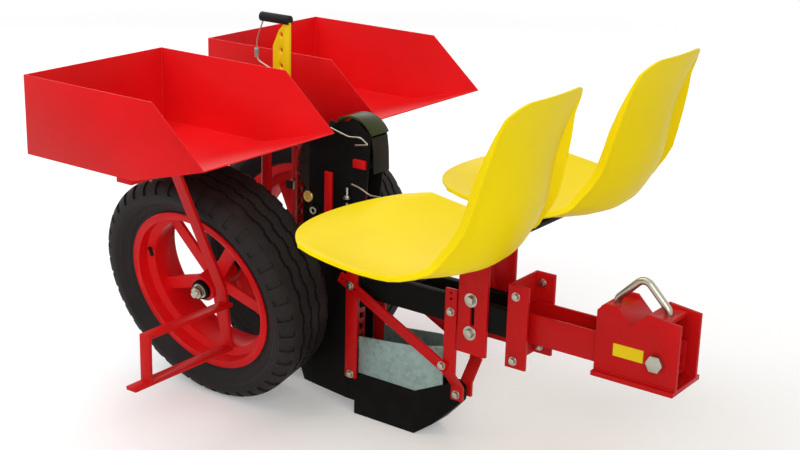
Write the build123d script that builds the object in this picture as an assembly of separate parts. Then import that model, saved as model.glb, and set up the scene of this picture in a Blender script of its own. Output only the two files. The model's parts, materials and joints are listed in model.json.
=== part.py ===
"""Two-seat bare root transplanter: a toolbar-mounted planting unit on two cambered press wheels."""
from build123d import *
import os
from math import atan2, cos, pi, radians, sin, tan

# Axes: +X forward to the toolbar, +Y left, +Z up from the ground.
# Lengths are millimetres, and x is measured from the trays' rear edge until the shift at the end.

# Flat bar used for posts, straps and hangers, and the gap of a running fit
FLAT = 8.0
RUNNING_GAP = 0.3

# Press wheels: the tyres nearly meet where they press the furrow shut
CAMBER = 13.3
WHEEL_X = 246.0
PRESS_GAP_HALF = 17.7
TYRE_R = 285.0
TYRE_WIDTH = 168.0
TYRE_SHOULDER = 35.0
TYRE_BELLY_SHARE = 0.45
TYRE_BELLY_ROUND = 22.0
TYRE_WALL = 14.0
RIM_R = 190.5
RIM_FLANGE = 14.0
RIM_SHEET = 4.0
BEAD_HALF = 58.0
RIM_WELL_DEPTH = 18.0
RIM_WELL_HALF = 22.0
RIM_WELL_SLOPE = 8.0
SPOKE_COUNT = 5
SPOKE_FIRST = 53.0
SPOKE_WIDTH = 32.0
SPOKE_THICKNESS = 8.0
HUB_R = 32.0
HUB_HALF = 46.0
SPINDLE_R = 15.0
SPINDLE_COLLAR_R = 24.0
SPINDLE_COLLAR = 10.0
SPINDLE_PLATE = (90.0, 58.0)
FILLET_SHARE = 0.9
RIM_FLANGE_R = RIM_R + RIM_FLANGE
BEAD_R = RIM_FLANGE_R + RIM_SHEET
TYRE_BELLY_R = BEAD_R + TYRE_BELLY_SHARE * (TYRE_R - BEAD_R)
SHOULDER_R = min(TYRE_SHOULDER, FILLET_SHARE * (TYRE_R - TYRE_BELLY_R))
TREAD_HALF = TYRE_WIDTH / 2 - SHOULDER_R
LEAN = sin(radians(CAMBER))
STAND = cos(radians(CAMBER))
WHEEL_Y = PRESS_GAP_HALF + TYRE_R * LEAN + TYRE_WIDTH / 2 * STAND
WHEEL_Z = (TYRE_R - SHOULDER_R) * STAND + TREAD_HALF * LEAN + SHOULDER_R
TYRE_TOP_Z = WHEEL_Z + TYRE_R * STAND + TYRE_WIDTH / 2 * LEAN

# Frame rails, carried by the wheel spindles
RAIL_REAR_X = 190.0
RAIL_FRONT_X = 980.0
RAIL_INNER_Y = 30.0
RAIL_THICKNESS = 20.0
RAIL_LIFT = 6.4
RAIL_HEIGHT = 62.0
RAIL_WALL = 3.0
RAIL_SPACER_R = 11.0
RAIL_SPACER_X = (251.0, 400.0, 690.0)
RAIL_OUTER_Y = RAIL_INNER_Y + RAIL_THICKNESS
RAIL_BOTTOM_Z = WHEEL_Z + RAIL_LIFT
RAIL_TOP_Z = RAIL_BOTTOM_Z + RAIL_HEIGHT
RAIL_MIDDLE_Z = RAIL_BOTTOM_Z + RAIL_HEIGHT / 2
SIDE_Y = RAIL_OUTER_Y + FLAT

# Plant trays and what carries them
TRAY_INNER_Y = 80.0
TRAY_WIDTH = 418.0
TRAY_SHEET = 3.0
TRAY_WHEEL_GAP = 20.8
TRAY_DEPTH = 178.0
TRAY_TOP_LENGTH = 387.0
TRAY_FLOOR_LENGTH = 325.0
TRAY_LIP_X = 529.0
TRAY_LIP_RISE = 57.0
CROSSBAR_X = (278.0, 322.0)
CROSSBAR_THICKNESS = 10.0
UPRIGHT_X = (295.0, 320.0)
UPRIGHT_INSET = 4.0
TRAY_OUTER_Y = TRAY_INNER_Y + TRAY_WIDTH
CROSSBAR_BOTTOM_Z = TYRE_TOP_Z + TRAY_WHEEL_GAP
TRAY_FLOOR_Z = CROSSBAR_BOTTOM_Z + CROSSBAR_THICKNESS

# Foot rests, hung outside the wheels
FOOT_BAR = 28.0
FOOT_TYRE_GAP = 33.0
FOOT_TOP_X = 300.0
FOOT_BEND_X = 370.0
FOOT_LOW_X = 385.0
FOOT_LOW_Z = 195.0
FOOT_UPPER_RISE = 105.0
FOOT_BEND_RISE = 133.0
FOOT_REACH = 255.0
FOOT_TOE = 42.0
FOOT_Y = WHEEL_Y + TYRE_WIDTH / 2 * STAND + FOOT_TYRE_GAP
FOOT_TOP_Y = FOOT_Y + TYRE_R * LEAN

# Seats, their posts and crossbar
POST_X = (856.0, 930.0)
POST_DROP = 58.0
POST_RISE = 130.0
POST_SLOT = (11.0, 46.0)
SEAT_BAR_X = (893.0, 937.0)
SEAT_BAR_THICKNESS = 12.0
SEAT_Y = 255.0
SEAT_SHEET = 5.0
SEAT_PAD_HEIGHT = 10.0
SEAT_PAD = (60.0, 44.0)
SEAT_LOW_X = 940.0
SEAT_WIDTH = 456.0
SEAT_REACH = 287.0
SEAT_BACK = 378.0
SEAT_LIP_R = 298.0
SEAT_CORNER = 72.0
SEAT_FLANGE_LEAN = 30.0
SEAT_STEPS = 2
POST_FOOT_Z = RAIL_BOTTOM_Z - POST_DROP
POST_TOP_Z = RAIL_TOP_Z + POST_RISE
SEAT_BAR_TOP_Z = POST_TOP_Z + SEAT_BAR_THICKNESS
SEAT_LOW_Z = SEAT_BAR_TOP_Z + SEAT_PAD_HEIGHT + RUNNING_GAP + SEAT_SHEET

# Shoe that opens the furrow
SHOE_CLEARANCE = 1.0
SHOE_TOP_Z = 107.0
SHOE_WALL = 4.0
SHOE_SOLE = 8.0
SHOE_REAR_X = (403.0, 366.0)
SHOE_STEP_X = 571.0
SHOE_STEP_Z = 33.0
SHOE_HEEL_HALF = 22.0
SHOE_BODY_X = (548.0, 743.0)
SHOE_NOSE_X = (822.0, 840.0)
SHOE_NOSE_HALF = 14.0
SHOE_NOSE_TOP_Z = 137.0
SHOE_NOSE_CURVE = ((780.0, 27.0), (822.0, 70.0))
SHOE_TIP = (846.0, 98.0, 122.0)
SHOE_BODY_HALF = RAIL_OUTER_Y
HANGER_X = (822.0, 852.0)
HANGER_RISE = 18.0
HANGER_BEND_DROP = 120.0
HANGER_NOSE_Z = (100.0, 132.0)
STRAP_X = (548.0, 580.0)
STRAP_LAP = 15.0
STRAP_SHORT = 3.0
BRACE_WIDTH = 25.0
BRACE_THICKNESS = 6.0
BRACE_X = (533.0, 832.0)
BRACE_RISE = (40.0, 13.0)
SMALL_HOLE_R = 3.4
SMALL_HOLE_EDGE = 9.0
SMALL_HOLE_PITCH = 13.0
BRACE_HOLES = 4
HANGER_HOLES = 2
SHIELD_SHEET = 3.0
SHIELD_X = (582.0, 800.0)
SHIELD_TOP_Z = (197.0, 222.0)
HANGER_TOP_Z = RAIL_TOP_Z + HANGER_RISE
HANGER_BEND_Z = RAIL_BOTTOM_Z - HANGER_BEND_DROP

# Planting chain and its housing
CHAIN_PITCH = 26.7
CHAIN_LINKS = 52
SPROCKET_TEETH = 22
CHAIN_CENTRE_X = 455.0
CHAIN_TOP_Z = 560.0
CHAIN_HALF = 13.0
CHAIN_THICKNESS = 6.0
CHAIN_WINDOW = (15.0, 16.0)
CHAIN_R = CHAIN_PITCH * SPROCKET_TEETH / (2 * pi)
CHAIN_SPAN = CHAIN_PITCH * (CHAIN_LINKS - SPROCKET_TEETH) / 2
CHAIN_BOTTOM_Z = CHAIN_TOP_Z - CHAIN_SPAN
SPROCKET_THICKNESS = 8.0
SHAFT_R = 10.0
HOLDER_EVERY = 4
HOLDER_PAD = (20.0, 32.0, 4.0)
POCKET_HEIGHT = 22.0
POCKET_WALL = 3.0
PLATE_SHEET = 5.0
PLATE_REAR_X = 415.0
PLATE_FRONT_X = 572.0
PLATE_FRONT_DROP = 95.0
PLATE_FOOT_X = 552.0
PLATE_RISE = 90.0
PLATE_LEG_HALF = 20.0
STAY_X = (466.0, 486.0)
STAY_RISE = 7.0
COVER_REAR_X = 336.0
COVER_RISE = 60.0
GUARD_GAP = 5.0
GUARD_SHEET = 6.0
GUARD_R = 64.0
GUARD_LEAN = 43.0
GUARD_ANGLES = (30.0, 128.0)
PLATE_OUTER_Y = RAIL_INNER_Y
PLATE_INNER_Y = PLATE_OUTER_Y - PLATE_SHEET

# Depth lever between the trays
LEVER_X = (283.0, 331.0)
LEVER_OVER_TRAY = 89.0
LEVER_ARM_X = 238.0
LEVER_PIVOT_X = 304.0
LEVER_PIVOT_RISE = 35.0
LEVER_FOOT_DROP = 16.0
LEVER_ARM_HEIGHT = 28.0
LEVER_NECK = 110.0
LEVER_TAPER = (8.0, 12.0)
LEVER_TIP = 13.0
LEVER_SHOULDER = (18.0, 20.0)
LEVER_SLOPE = 57.0
LEVER_HOLE_R = 6.0
LEVER_HOLE_DROP = 30.0
LEVER_HOLE_PITCH = 36.0
LEVER_HOLES = 3
GRIP_R = 11.0
GRIP_X = (246.0, 331.0)
LUG_THICKNESS = 6.0
LUG_HALF = 14.0
PIN_R = 5.0
ROD_R = 5.0
LEVER_PIVOT_Z = TRAY_FLOOR_Z + LEVER_PIVOT_RISE
LEVER_FOOT_Z = LEVER_PIVOT_Z - LEVER_FOOT_DROP
LEVER_TOP_Z = TRAY_FLOOR_Z + TRAY_DEPTH + LEVER_OVER_TRAY

# Hitch bracket, tongue and toolbar clamp
BRACKET_SHEET = 8.0
BRACKET_FRONT_X = 1030.0
BRACKET_OVERLAP = (61.0, 64.0)
TONGUE_HALF = 40.0
TONGUE_WALL = 6.0
TONGUE_HEIGHT = 66.0
TONGUE_DROP = 1.0
TONGUE_FRONT_X = 1350.0
CLAMP_X = (1188.0, 1373.0)
CLAMP_GAP = 2.0
CLAMP_PLATE = 8.0
CLAMP_BASE = 10.0
CLAMP_FLOOR_GAP = 11.0
CLAMP_BASE_HALF = 62.0
CLAMP_SHOULDER = 35.0
CLAMP_CORNERS = (16.0, 8.0)
TOOLBAR_SIDE = 57.15
TOOLBAR_X = 1265.0
SADDLE_OVER_TONGUE = 34.0
SADDLE_EAR_RISE = 26.0
SADDLE_SHEET = 8.0
SADDLE_X = (1192.0, 1344.0)
U_BOLT_R = 8.0
U_BOLT_HALF = 58.0
U_BOLT_TAIL = 37.0
U_BOLT_ROUND = 20.0
NUT_CORNER_SHARE = 1.7
NUT_HEIGHT_SHARE = 1.6
PIVOT_X = 1327.0
PIVOT_RISE = 39.0
PIVOT_R = 12.0
PIVOT_HEAD_R = 19.0
PIVOT_HEAD = 13.0
BRACKET_Z = (RAIL_BOTTOM_Z - BRACKET_OVERLAP[0], RAIL_TOP_Z + BRACKET_OVERLAP[1])
TONGUE_Z = (RAIL_BOTTOM_Z - TONGUE_DROP, RAIL_BOTTOM_Z - TONGUE_DROP + TONGUE_HEIGHT)
CLAMP_BASE_TOP_Z = TONGUE_Z[0] - CLAMP_FLOOR_GAP
SADDLE_V_Z = TONGUE_Z[1] + SADDLE_OVER_TONGUE
SADDLE_EAR_Z = SADDLE_V_Z + SADDLE_EAR_RISE
PIVOT_Z = TONGUE_Z[0] + PIVOT_RISE
CHEEK_INNER_Y = TONGUE_HALF + CLAMP_GAP
CHEEK_OUTER_Y = CHEEK_INNER_Y + CLAMP_PLATE

CENTRE_X = (WHEEL_X - TYRE_R + CLAMP_X[1]) / 2


def block(x, y, z):
    """A box between pairs of limits."""
    size = [limit[1] - limit[0] for limit in (x, y, z)]
    middle = [(limit[0] + limit[1]) / 2 for limit in (x, y, z)]
    return Pos(*middle) * Box(*size)


def plate(outline, y):
    """An outline in x and z, as thick as the pair of y limits."""
    edge = Polyline(*[(px, y[1], pz) for px, pz in outline], close=True)
    return extrude(make_face(edge), amount=y[1] - y[0], dir=(0, -1, 0))


def slab(outline, z):
    """An outline in x and y, between the pair of z limits."""
    edge = Polyline(*[(px, py, z[0]) for px, py in outline], close=True)
    return extrude(make_face(edge), amount=z[1] - z[0], dir=(0, 0, 1))


def cross_pin(x, z, radius, y):
    """A round bar across the machine."""
    return Pos(x, (y[0] + y[1]) / 2, z) * Rot(90, 0, 0) * Cylinder(radius, y[1] - y[0])


def strut(start, end, width_dir, width, thickness):
    """A flat bar between two points, wide along width_dir."""
    along = Vector(*end) - Vector(*start)
    place = Plane(origin=start, x_dir=width_dir, z_dir=along)
    return extrude(place * Rectangle(width, thickness), amount=along.length)


def left_of(shape):
    """The left-hand copy of a right-hand piece."""
    return mirror(shape, about=Plane.XZ)


def rail():
    y = (-RAIL_OUTER_Y, -RAIL_INNER_Y)
    z = (RAIL_BOTTOM_Z, RAIL_TOP_Z)
    tube = block((RAIL_REAR_X, RAIL_FRONT_X), y, z)
    bore_y = (y[0] + RAIL_WALL, y[1] - RAIL_WALL)
    bore_z = (z[0] + RAIL_WALL, z[1] - RAIL_WALL)
    return tube - block((RAIL_REAR_X, RAIL_FRONT_X), bore_y, bore_z)


def rail_spacers():
    y = (-RAIL_INNER_Y, RAIL_INNER_Y)
    return Compound([cross_pin(x, RAIL_MIDDLE_Z, RAIL_SPACER_R, y) for x in RAIL_SPACER_X])


WHEEL_PLACE = Plane(
    origin=(WHEEL_X, -WHEEL_Y, WHEEL_Z),
    x_dir=(1, 0, 0),
    z_dir=(0, -STAND, -LEAN),
).location


def ring_face(points):
    """A closed section in radius and axial place, ready to turn about Z."""
    return make_face(Polyline(*[(r, 0, axial) for r, axial in points], close=True))


def tyre():
    half = TYRE_WIDTH / 2
    outer = ring_face([
        (RIM_R, -BEAD_HALF), (BEAD_R, -BEAD_HALF), (TYRE_BELLY_R, -half), (TYRE_R, -half),
        (TYRE_R, half), (TYRE_BELLY_R, half), (BEAD_R, BEAD_HALF), (RIM_R, BEAD_HALF),
    ])
    turn = atan2(half - BEAD_HALF, TYRE_BELLY_R - BEAD_R)
    side = TYRE_R - SHOULDER_R - TYRE_BELLY_R
    belly = min(TYRE_BELLY_ROUND, FILLET_SHARE * side / tan(turn / 2))
    shoulders = [v for v in outer.vertices() if abs(v.X - TYRE_R) < RUNNING_GAP]
    outer = fillet(shoulders, SHOULDER_R)
    bellies = [v for v in outer.vertices() if abs(v.X - TYRE_BELLY_R) < RUNNING_GAP]
    outer = fillet(bellies, belly)
    hollow_r = TYRE_R - TYRE_WALL
    hollow = half - TYRE_WALL
    bead = BEAD_HALF - TYRE_WALL
    crown = hollow - SHOULDER_R / 2
    inner = ring_face([
        (RIM_R, -bead), (BEAD_R, -bead), (TYRE_BELLY_R, -hollow), (hollow_r, -crown),
        (hollow_r, crown), (TYRE_BELLY_R, hollow), (BEAD_R, bead), (RIM_R, bead),
    ])
    return WHEEL_PLACE * revolve(outer - inner, axis=Axis.Z)


def rim():
    seat = RIM_R - RUNNING_GAP / 2
    well = seat - RIM_WELL_DEPTH
    flange = BEAD_HALF + RIM_SHEET
    slope = RIM_WELL_HALF + RIM_WELL_SLOPE
    outside = [
        (RIM_FLANGE_R, -flange), (RIM_FLANGE_R, -BEAD_HALF), (seat, -BEAD_HALF), (seat, -slope),
        (well, -RIM_WELL_HALF), (well, RIM_WELL_HALF), (seat, slope), (seat, BEAD_HALF),
        (RIM_FLANGE_R, BEAD_HALF), (RIM_FLANGE_R, flange),
    ]
    inside = [
        (seat - RIM_SHEET, flange), (seat - RIM_SHEET, slope + RIM_SHEET),
        (well - RIM_SHEET, RIM_WELL_HALF + RIM_SHEET), (well - RIM_SHEET, -RIM_WELL_HALF - RIM_SHEET),
        (seat - RIM_SHEET, -slope - RIM_SHEET), (seat - RIM_SHEET, -flange),
    ]
    band = revolve(ring_face(outside + inside), axis=Axis.Z)
    reach = well - RIM_SHEET / 2
    spoke = Pos(reach / 2, 0, 0) * Box(reach, SPOKE_WIDTH, SPOKE_THICKNESS)
    turn = 360 / SPOKE_COUNT
    spokes = [Rot(0, 0, SPOKE_FIRST + turn * n) * spoke for n in range(SPOKE_COUNT)]
    wheel = band + spokes + Cylinder(HUB_R, 2 * HUB_HALF)
    return WHEEL_PLACE * (wheel - Cylinder(SPINDLE_R + RUNNING_GAP, 2 * HUB_HALF))


def axle():
    """Stub spindle at the camber angle on a plate against the rail."""
    length, height = SPINDLE_PLATE
    foot = block(
        (WHEEL_X - length / 2, WHEEL_X + length / 2),
        (-SIDE_Y, -RAIL_OUTER_Y),
        (RAIL_MIDDLE_Z - height / 2, RAIL_MIDDLE_Z + height / 2),
    )
    inboard = WHEEL_Y / STAND
    outboard = HUB_HALF + RUNNING_GAP + SPINDLE_COLLAR
    collar_place = HUB_HALF + RUNNING_GAP + SPINDLE_COLLAR / 2
    spindle = Pos(0, 0, (outboard - inboard) / 2) * Cylinder(SPINDLE_R, outboard + inboard)
    collar = Cylinder(SPINDLE_COLLAR_R, SPINDLE_COLLAR)
    collars = [Pos(0, 0, side * collar_place) * collar for side in (-1, 1)]
    shaft = WHEEL_PLACE * (spindle + collars)
    inside = block((0, 2 * WHEEL_X), (-RAIL_OUTER_Y, WHEEL_Y), (0, 2 * WHEEL_Z))
    return foot + (shaft - inside)


def tray():
    """Sheet pan, open at the top and along the sloping front."""
    top = TRAY_FLOOR_Z + TRAY_DEPTH
    lip = TRAY_FLOOR_Z + TRAY_LIP_RISE
    outline = [
        (0, top), (TRAY_TOP_LENGTH, top), (TRAY_LIP_X, lip), (TRAY_FLOOR_LENGTH, TRAY_FLOOR_Z),
        (0, TRAY_FLOOR_Z),
    ]
    floor = TRAY_FLOOR_Z + TRAY_SHEET
    inside = [
        (TRAY_SHEET, top + TRAY_DEPTH), (2 * TRAY_LIP_X, top + TRAY_DEPTH),
        (2 * TRAY_LIP_X, lip + TRAY_SHEET + tray_slope() * TRAY_LIP_X),
        (TRAY_FLOOR_LENGTH, floor), (TRAY_SHEET, floor),
    ]
    body = plate(outline, (-TRAY_OUTER_Y, -TRAY_INNER_Y))
    return body - plate(inside, (TRAY_SHEET - TRAY_OUTER_Y, -TRAY_INNER_Y - TRAY_SHEET))


def tray_slope():
    """Rise of the tray's front floor per unit of x."""
    return TRAY_LIP_RISE / (TRAY_LIP_X - TRAY_FLOOR_LENGTH)


def tray_crossbar():
    return block(CROSSBAR_X, (-TRAY_OUTER_Y, TRAY_OUTER_Y), (CROSSBAR_BOTTOM_Z, TRAY_FLOOR_Z))


def tray_upright():
    z = (RAIL_BOTTOM_Z + UPRIGHT_INSET, CROSSBAR_BOTTOM_Z)
    return block(UPRIGHT_X, (-SIDE_Y, -RAIL_OUTER_Y), z)


def foot_rest():
    """Hanger from the tray crossbar with a stirrup loop at its foot."""
    half = FOOT_BAR / 2
    top = (FOOT_TOP_X, -FOOT_TOP_Y, CROSSBAR_BOTTOM_Z - FLAT)
    bend = (FOOT_BEND_X, -FOOT_Y, FOOT_LOW_Z + FOOT_BEND_RISE)
    low = (FOOT_LOW_X, -FOOT_Y, FOOT_LOW_Z)
    x = (FOOT_LOW_X - half, FOOT_LOW_X + half)
    inner = FLAT / 2 - FOOT_Y
    outer = -FOOT_Y - FOOT_REACH
    upper = FOOT_LOW_Z + FOOT_UPPER_RISE
    foot = block(
        (FOOT_TOP_X - half, FOOT_TOP_X + half),
        (-FOOT_TOP_Y - FOOT_BAR, FLAT / 2 - FOOT_TOP_Y),
        (CROSSBAR_BOTTOM_Z - FLAT, CROSSBAR_BOTTOM_Z),
    )
    pieces = [
        strut(top, bend, (1, 0, 0), FOOT_BAR, FLAT),
        strut(bend, low, (1, 0, 0), FOOT_BAR, FLAT),
        block(x, (outer, inner), (upper - FLAT, upper)),
        block(x, (outer - FOOT_TOE, inner), (FOOT_LOW_Z - FLAT, FOOT_LOW_Z)),
        block(x, (outer, outer + FLAT), (FOOT_LOW_Z - FLAT, upper)),
    ]
    return foot + pieces


def seat_post():
    post = block(POST_X, (-SIDE_Y, -RAIL_OUTER_Y), (POST_FOOT_Z, POST_TOP_Z))
    middle = (POST_X[0] + POST_X[1]) / 2
    slot = SlotOverall(POST_SLOT[1], POST_SLOT[0], rotation=90)
    slot = Plane.XZ * Pos(middle, RAIL_MIDDLE_Z, 0) * slot
    return post - extrude(slot, amount=2 * SIDE_Y)


def seat_crossbar():
    reach = SEAT_Y + SEAT_PAD[0]
    bar = block(SEAT_BAR_X, (-reach, reach), (POST_TOP_Z, SEAT_BAR_TOP_Z))
    middle = (SEAT_BAR_X[0] + SEAT_BAR_X[1]) / 2
    pads = [
        block(
            (middle - SEAT_PAD[1] / 2, middle + SEAT_PAD[1] / 2),
            (side * SEAT_Y - SEAT_PAD[0] / 2, side * SEAT_Y + SEAT_PAD[0] / 2),
            (SEAT_BAR_TOP_Z, SEAT_BAR_TOP_Z + SEAT_PAD_HEIGHT),
        )
        for side in (-1, 1)
    ]
    return bar + pads


# Shell stations from beyond the front lip to above the back, from the pan's lowest point:
# x as a share of the reach, z of the back, then half width, edge rise and flange of half the width
SEAT_STATIONS = [
    (-1.185, 0.140, 1.000, 0.114, 0.031),
    (-0.785, 0.103, 0.985, 0.114, 0.031),
    (-0.523, 0.060, 1.010, 0.122, 0.035),
    (-0.261, 0.025, 1.010, 0.134, 0.035),
    (0.000, 0.000, 0.960, 0.148, 0.040),
    (0.173, 0.004, 0.885, 0.152, 0.048),
    (0.404, 0.060, 0.807, 0.183, 0.066),
    (0.529, 0.158, 0.744, 0.214, 0.088),
    (0.642, 0.333, 0.688, 0.195, 0.105),
    (0.690, 0.585, 0.635, 0.156, 0.114),
    (0.762, 0.815, 0.598, 0.100, 0.105),
    (0.866, 1.040, 0.560, 0.040, 0.088),
]


def seat_section(place, half, rise, flange):
    """One crescent across the shell, hollow towards the sitter, its edges turned back as flanges."""
    lean = radians(SEAT_FLANGE_LEAN)
    tip = (half + flange * sin(lean), rise - flange * cos(lean))
    root = (half - SEAT_SHEET / 2, rise - SEAT_SHEET)
    inner_tip = (tip[0] - SEAT_SHEET * cos(lean), tip[1] - SEAT_SHEET * sin(lean))
    right = [(half, rise), tip, inner_tip, root]
    left = [(-x, y) for x, y in right]
    edges = [
        ThreePointArc(left[0], (0, 0), right[0]),
        Polyline(*right),
        ThreePointArc(root, (0, -SEAT_SHEET), left[3]),
        Polyline(*reversed(left)),
    ]
    return place * make_face(edges)


def seat_rows():
    """The stations with smooth steps between them."""
    last = len(SEAT_STATIONS) - 1
    rows = []
    for n in range(last):
        near = [SEAT_STATIONS[min(max(n + k, 0), last)] for k in (-1, 0, 1, 2)]
        for step in range(SEAT_STEPS):
            t = step / SEAT_STEPS
            rows.append([eased(*values, t) for values in zip(*near)])
    return rows + [SEAT_STATIONS[last]]


def eased(a, b, c, d, t):
    """Smooth value between b and c, with a and d beyond them."""
    bend = 2 * a - 5 * b + 4 * c - d
    twist = 3 * b - a - 3 * c + d
    return b + ((c - a) * t + bend * t ** 2 + twist * t ** 3) / 2


def seat_trims():
    """What is cut off the shell: the front outside its round lip, and the top outside its round corners."""
    wide = SEAT_WIDTH
    lip = SEAT_LOW_X - SEAT_REACH
    top = SEAT_LOW_Z + SEAT_BACK
    centre = lip + SEAT_LIP_R
    y = (-SEAT_Y - wide, wide - SEAT_Y)
    front = block((lip - wide, centre), y, (SEAT_LOW_Z - wide, top))
    front = front - Pos(centre, -SEAT_Y, SEAT_LOW_Z) * Cylinder(SEAT_LIP_R, 4 * wide)
    half = wide / 2 * (SEAT_STATIONS[-1][2] + SEAT_STATIONS[-1][4])
    corners = [(-half, SEAT_LOW_Z), (half, SEAT_LOW_Z), (half, top), (-half, top)]
    kept = make_face(Polyline(*[(SEAT_LOW_X, side - SEAT_Y, z) for side, z in corners], close=True))
    kept = fillet([v for v in kept.vertices() if abs(v.Z - top) < RUNNING_GAP], SEAT_CORNER)
    above = block((SEAT_LOW_X, SEAT_LOW_X + wide), y, (top - SEAT_CORNER, top + wide))
    return [front, above - extrude(kept, amount=2 * wide, dir=(1, 0, 0))]


def seat():
    """Moulded bucket shell, lofted through its rows and trimmed."""
    rows = seat_rows()
    half_width = SEAT_WIDTH / 2
    line = [(SEAT_REACH * row[0], SEAT_BACK * row[1]) for row in rows]
    sections = []
    for n, (x, z) in enumerate(line):
        before = line[max(n - 1, 0)]
        after = line[min(n + 1, len(line) - 1)]
        heading = atan2(after[1] - before[1], after[0] - before[0])
        place = Plane(
            origin=(SEAT_LOW_X + x, -SEAT_Y, SEAT_LOW_Z + z),
            x_dir=(0, 1, 0),
            z_dir=(cos(heading), 0, sin(heading)),
        )
        spread = [half_width * share for share in rows[n][2:]]
        sections.append(seat_section(place, *spread))
    return loft(sections, ruled=True) - seat_trims()


def shoe():
    """Runner with a tapering nose; the heel is two tall walls, open below for the plants."""
    tip_x, tip_low, tip_high = SHOE_TIP
    rear_low, rear_high = SHOE_REAR_X
    side = [
        (rear_low, SHOE_STEP_Z), (SHOE_STEP_X, SHOE_STEP_Z), (SHOE_STEP_X, SHOE_CLEARANCE),
        (SHOE_BODY_X[1], SHOE_CLEARANCE), *SHOE_NOSE_CURVE, (tip_x, tip_low), (tip_x, tip_high),
        (SHOE_NOSE_X[0], SHOE_NOSE_TOP_Z), (SHOE_BODY_X[1], SHOE_TOP_Z), (SHOE_BODY_X[0], SHOE_TOP_Z),
        (SHOE_BODY_X[0], RAIL_BOTTOM_Z), (rear_high, RAIL_BOTTOM_Z), (rear_high, SHOE_TOP_Z),
    ]
    half = [
        (rear_high, SHOE_HEEL_HALF), shoe_flare(), (SHOE_BODY_X[0], SHOE_BODY_HALF),
        (SHOE_BODY_X[1], SHOE_BODY_HALF), (SHOE_NOSE_X[0], SHOE_NOSE_HALF),
        (SHOE_NOSE_X[1], SHOE_NOSE_HALF), (tip_x, SHOE_NOSE_HALF / 2),
    ]
    plan = half + [(x, -y) for x, y in reversed(half)]
    body = plate(side, (-SHOE_BODY_HALF, SHOE_BODY_HALF)) & slab(plan, (0, RAIL_BOTTOM_Z))
    behind = rear_high - SHOE_WALL
    above = 2 * RAIL_BOTTOM_Z
    hollow = [(behind, SHOE_HEEL_HALF - SHOE_WALL)] + [(x, y - SHOE_WALL) for x, y in half[1:5]]
    hollow = hollow + [(x, -y) for x, y in reversed(hollow)]
    floor = SHOE_CLEARANCE + SHOE_SOLE
    deep = [
        (behind, -SHOE_SOLE), (SHOE_STEP_X, -SHOE_SOLE), (SHOE_STEP_X, floor),
        (SHOE_BODY_X[1] - SHOE_WALL, floor), (SHOE_NOSE_X[0], tip_low - SHOE_SOLE),
        (SHOE_NOSE_X[0], above), (behind, above),
    ]
    return body - (plate(deep, (-SHOE_BODY_HALF, SHOE_BODY_HALF)) & slab(hollow, (-SHOE_SOLE, above)))


def shoe_flare():
    """Where the heel has spread enough to clear the planting unit's legs."""
    return CHAIN_CENTRE_X - PLATE_LEG_HALF, PLATE_OUTER_Y + RUNNING_GAP + SHOE_WALL


def shoe_hanger():
    """Flat bar down the rail's side, bent in to the shoe's nose."""
    nose_y = SHOE_NOSE_HALF
    face = [
        (-RAIL_OUTER_Y, HANGER_TOP_Z), (-RAIL_OUTER_Y, HANGER_BEND_Z), (-nose_y, HANGER_NOSE_Z[1]),
        (-nose_y, HANGER_NOSE_Z[0]), (-nose_y - FLAT, HANGER_NOSE_Z[0]), (-nose_y - FLAT, HANGER_NOSE_Z[1]),
        (-SIDE_Y, HANGER_BEND_Z), (-SIDE_Y, HANGER_TOP_Z),
    ]
    edge = Polyline(*[(HANGER_X[0], y, z) for y, z in face], close=True)
    bar = extrude(make_face(edge), amount=HANGER_X[1] - HANGER_X[0], dir=(1, 0, 0))
    middle = (HANGER_X[0] + HANGER_X[1]) / 2
    drops = [SMALL_HOLE_EDGE + SMALL_HOLE_PITCH * n for n in range(HANGER_HOLES)]
    y = (-SIDE_Y, -RAIL_OUTER_Y)
    return bar - [cross_pin(middle, HANGER_TOP_Z - drop, SMALL_HOLE_R, y) for drop in drops]


def shoe_strap():
    return block(STRAP_X, (-SIDE_Y, -RAIL_OUTER_Y), (SHOE_TOP_Z - STRAP_LAP, RAIL_TOP_Z - STRAP_SHORT))


def shoe_brace():
    """Sloping flat from the strap to the hanger, with spare holes at its upper end."""
    y = -SIDE_Y - BRACE_THICKNESS / 2
    start = Vector(BRACE_X[0], y, RAIL_BOTTOM_Z + BRACE_RISE[0])
    end = Vector(BRACE_X[1], y, HANGER_BEND_Z + BRACE_RISE[1])
    along = (end - start).normalized()
    bar = strut(start, end, (0, 1, 0), BRACE_THICKNESS, BRACE_WIDTH)
    spots = [start + along * (SMALL_HOLE_EDGE + SMALL_HOLE_PITCH * n) for n in range(BRACE_HOLES)]
    depth = (y - BRACE_THICKNESS, y + BRACE_THICKNESS)
    return bar - [cross_pin(spot.X, spot.Z, SMALL_HOLE_R, depth) for spot in spots]


def shoe_shield():
    """Sheet on the shoe's rim, following it in towards the nose."""
    rear, front = SHIELD_X
    bend = SHOE_BODY_X[1]
    outer = SHOE_BODY_HALF
    share = (front - bend) / (SHOE_NOSE_X[0] - bend)
    tip = outer - share * (outer - SHOE_NOSE_HALF)
    rim = SHOE_TOP_Z + share * (SHOE_NOSE_TOP_Z - SHOE_TOP_Z)
    plan = [
        (rear, -outer), (bend, -outer), (front, -tip), (front, SHIELD_SHEET - tip),
        (bend, SHIELD_SHEET - outer), (rear, SHIELD_SHEET - outer),
    ]
    side = [
        (rear, SHOE_TOP_Z), (bend, SHOE_TOP_Z), (front, rim),
        (front, SHIELD_TOP_Z[1]), (rear, SHIELD_TOP_Z[0]),
    ]
    return plate(side, (-outer, 0)) & slab(plan, (0, max(SHIELD_TOP_Z)))


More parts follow.
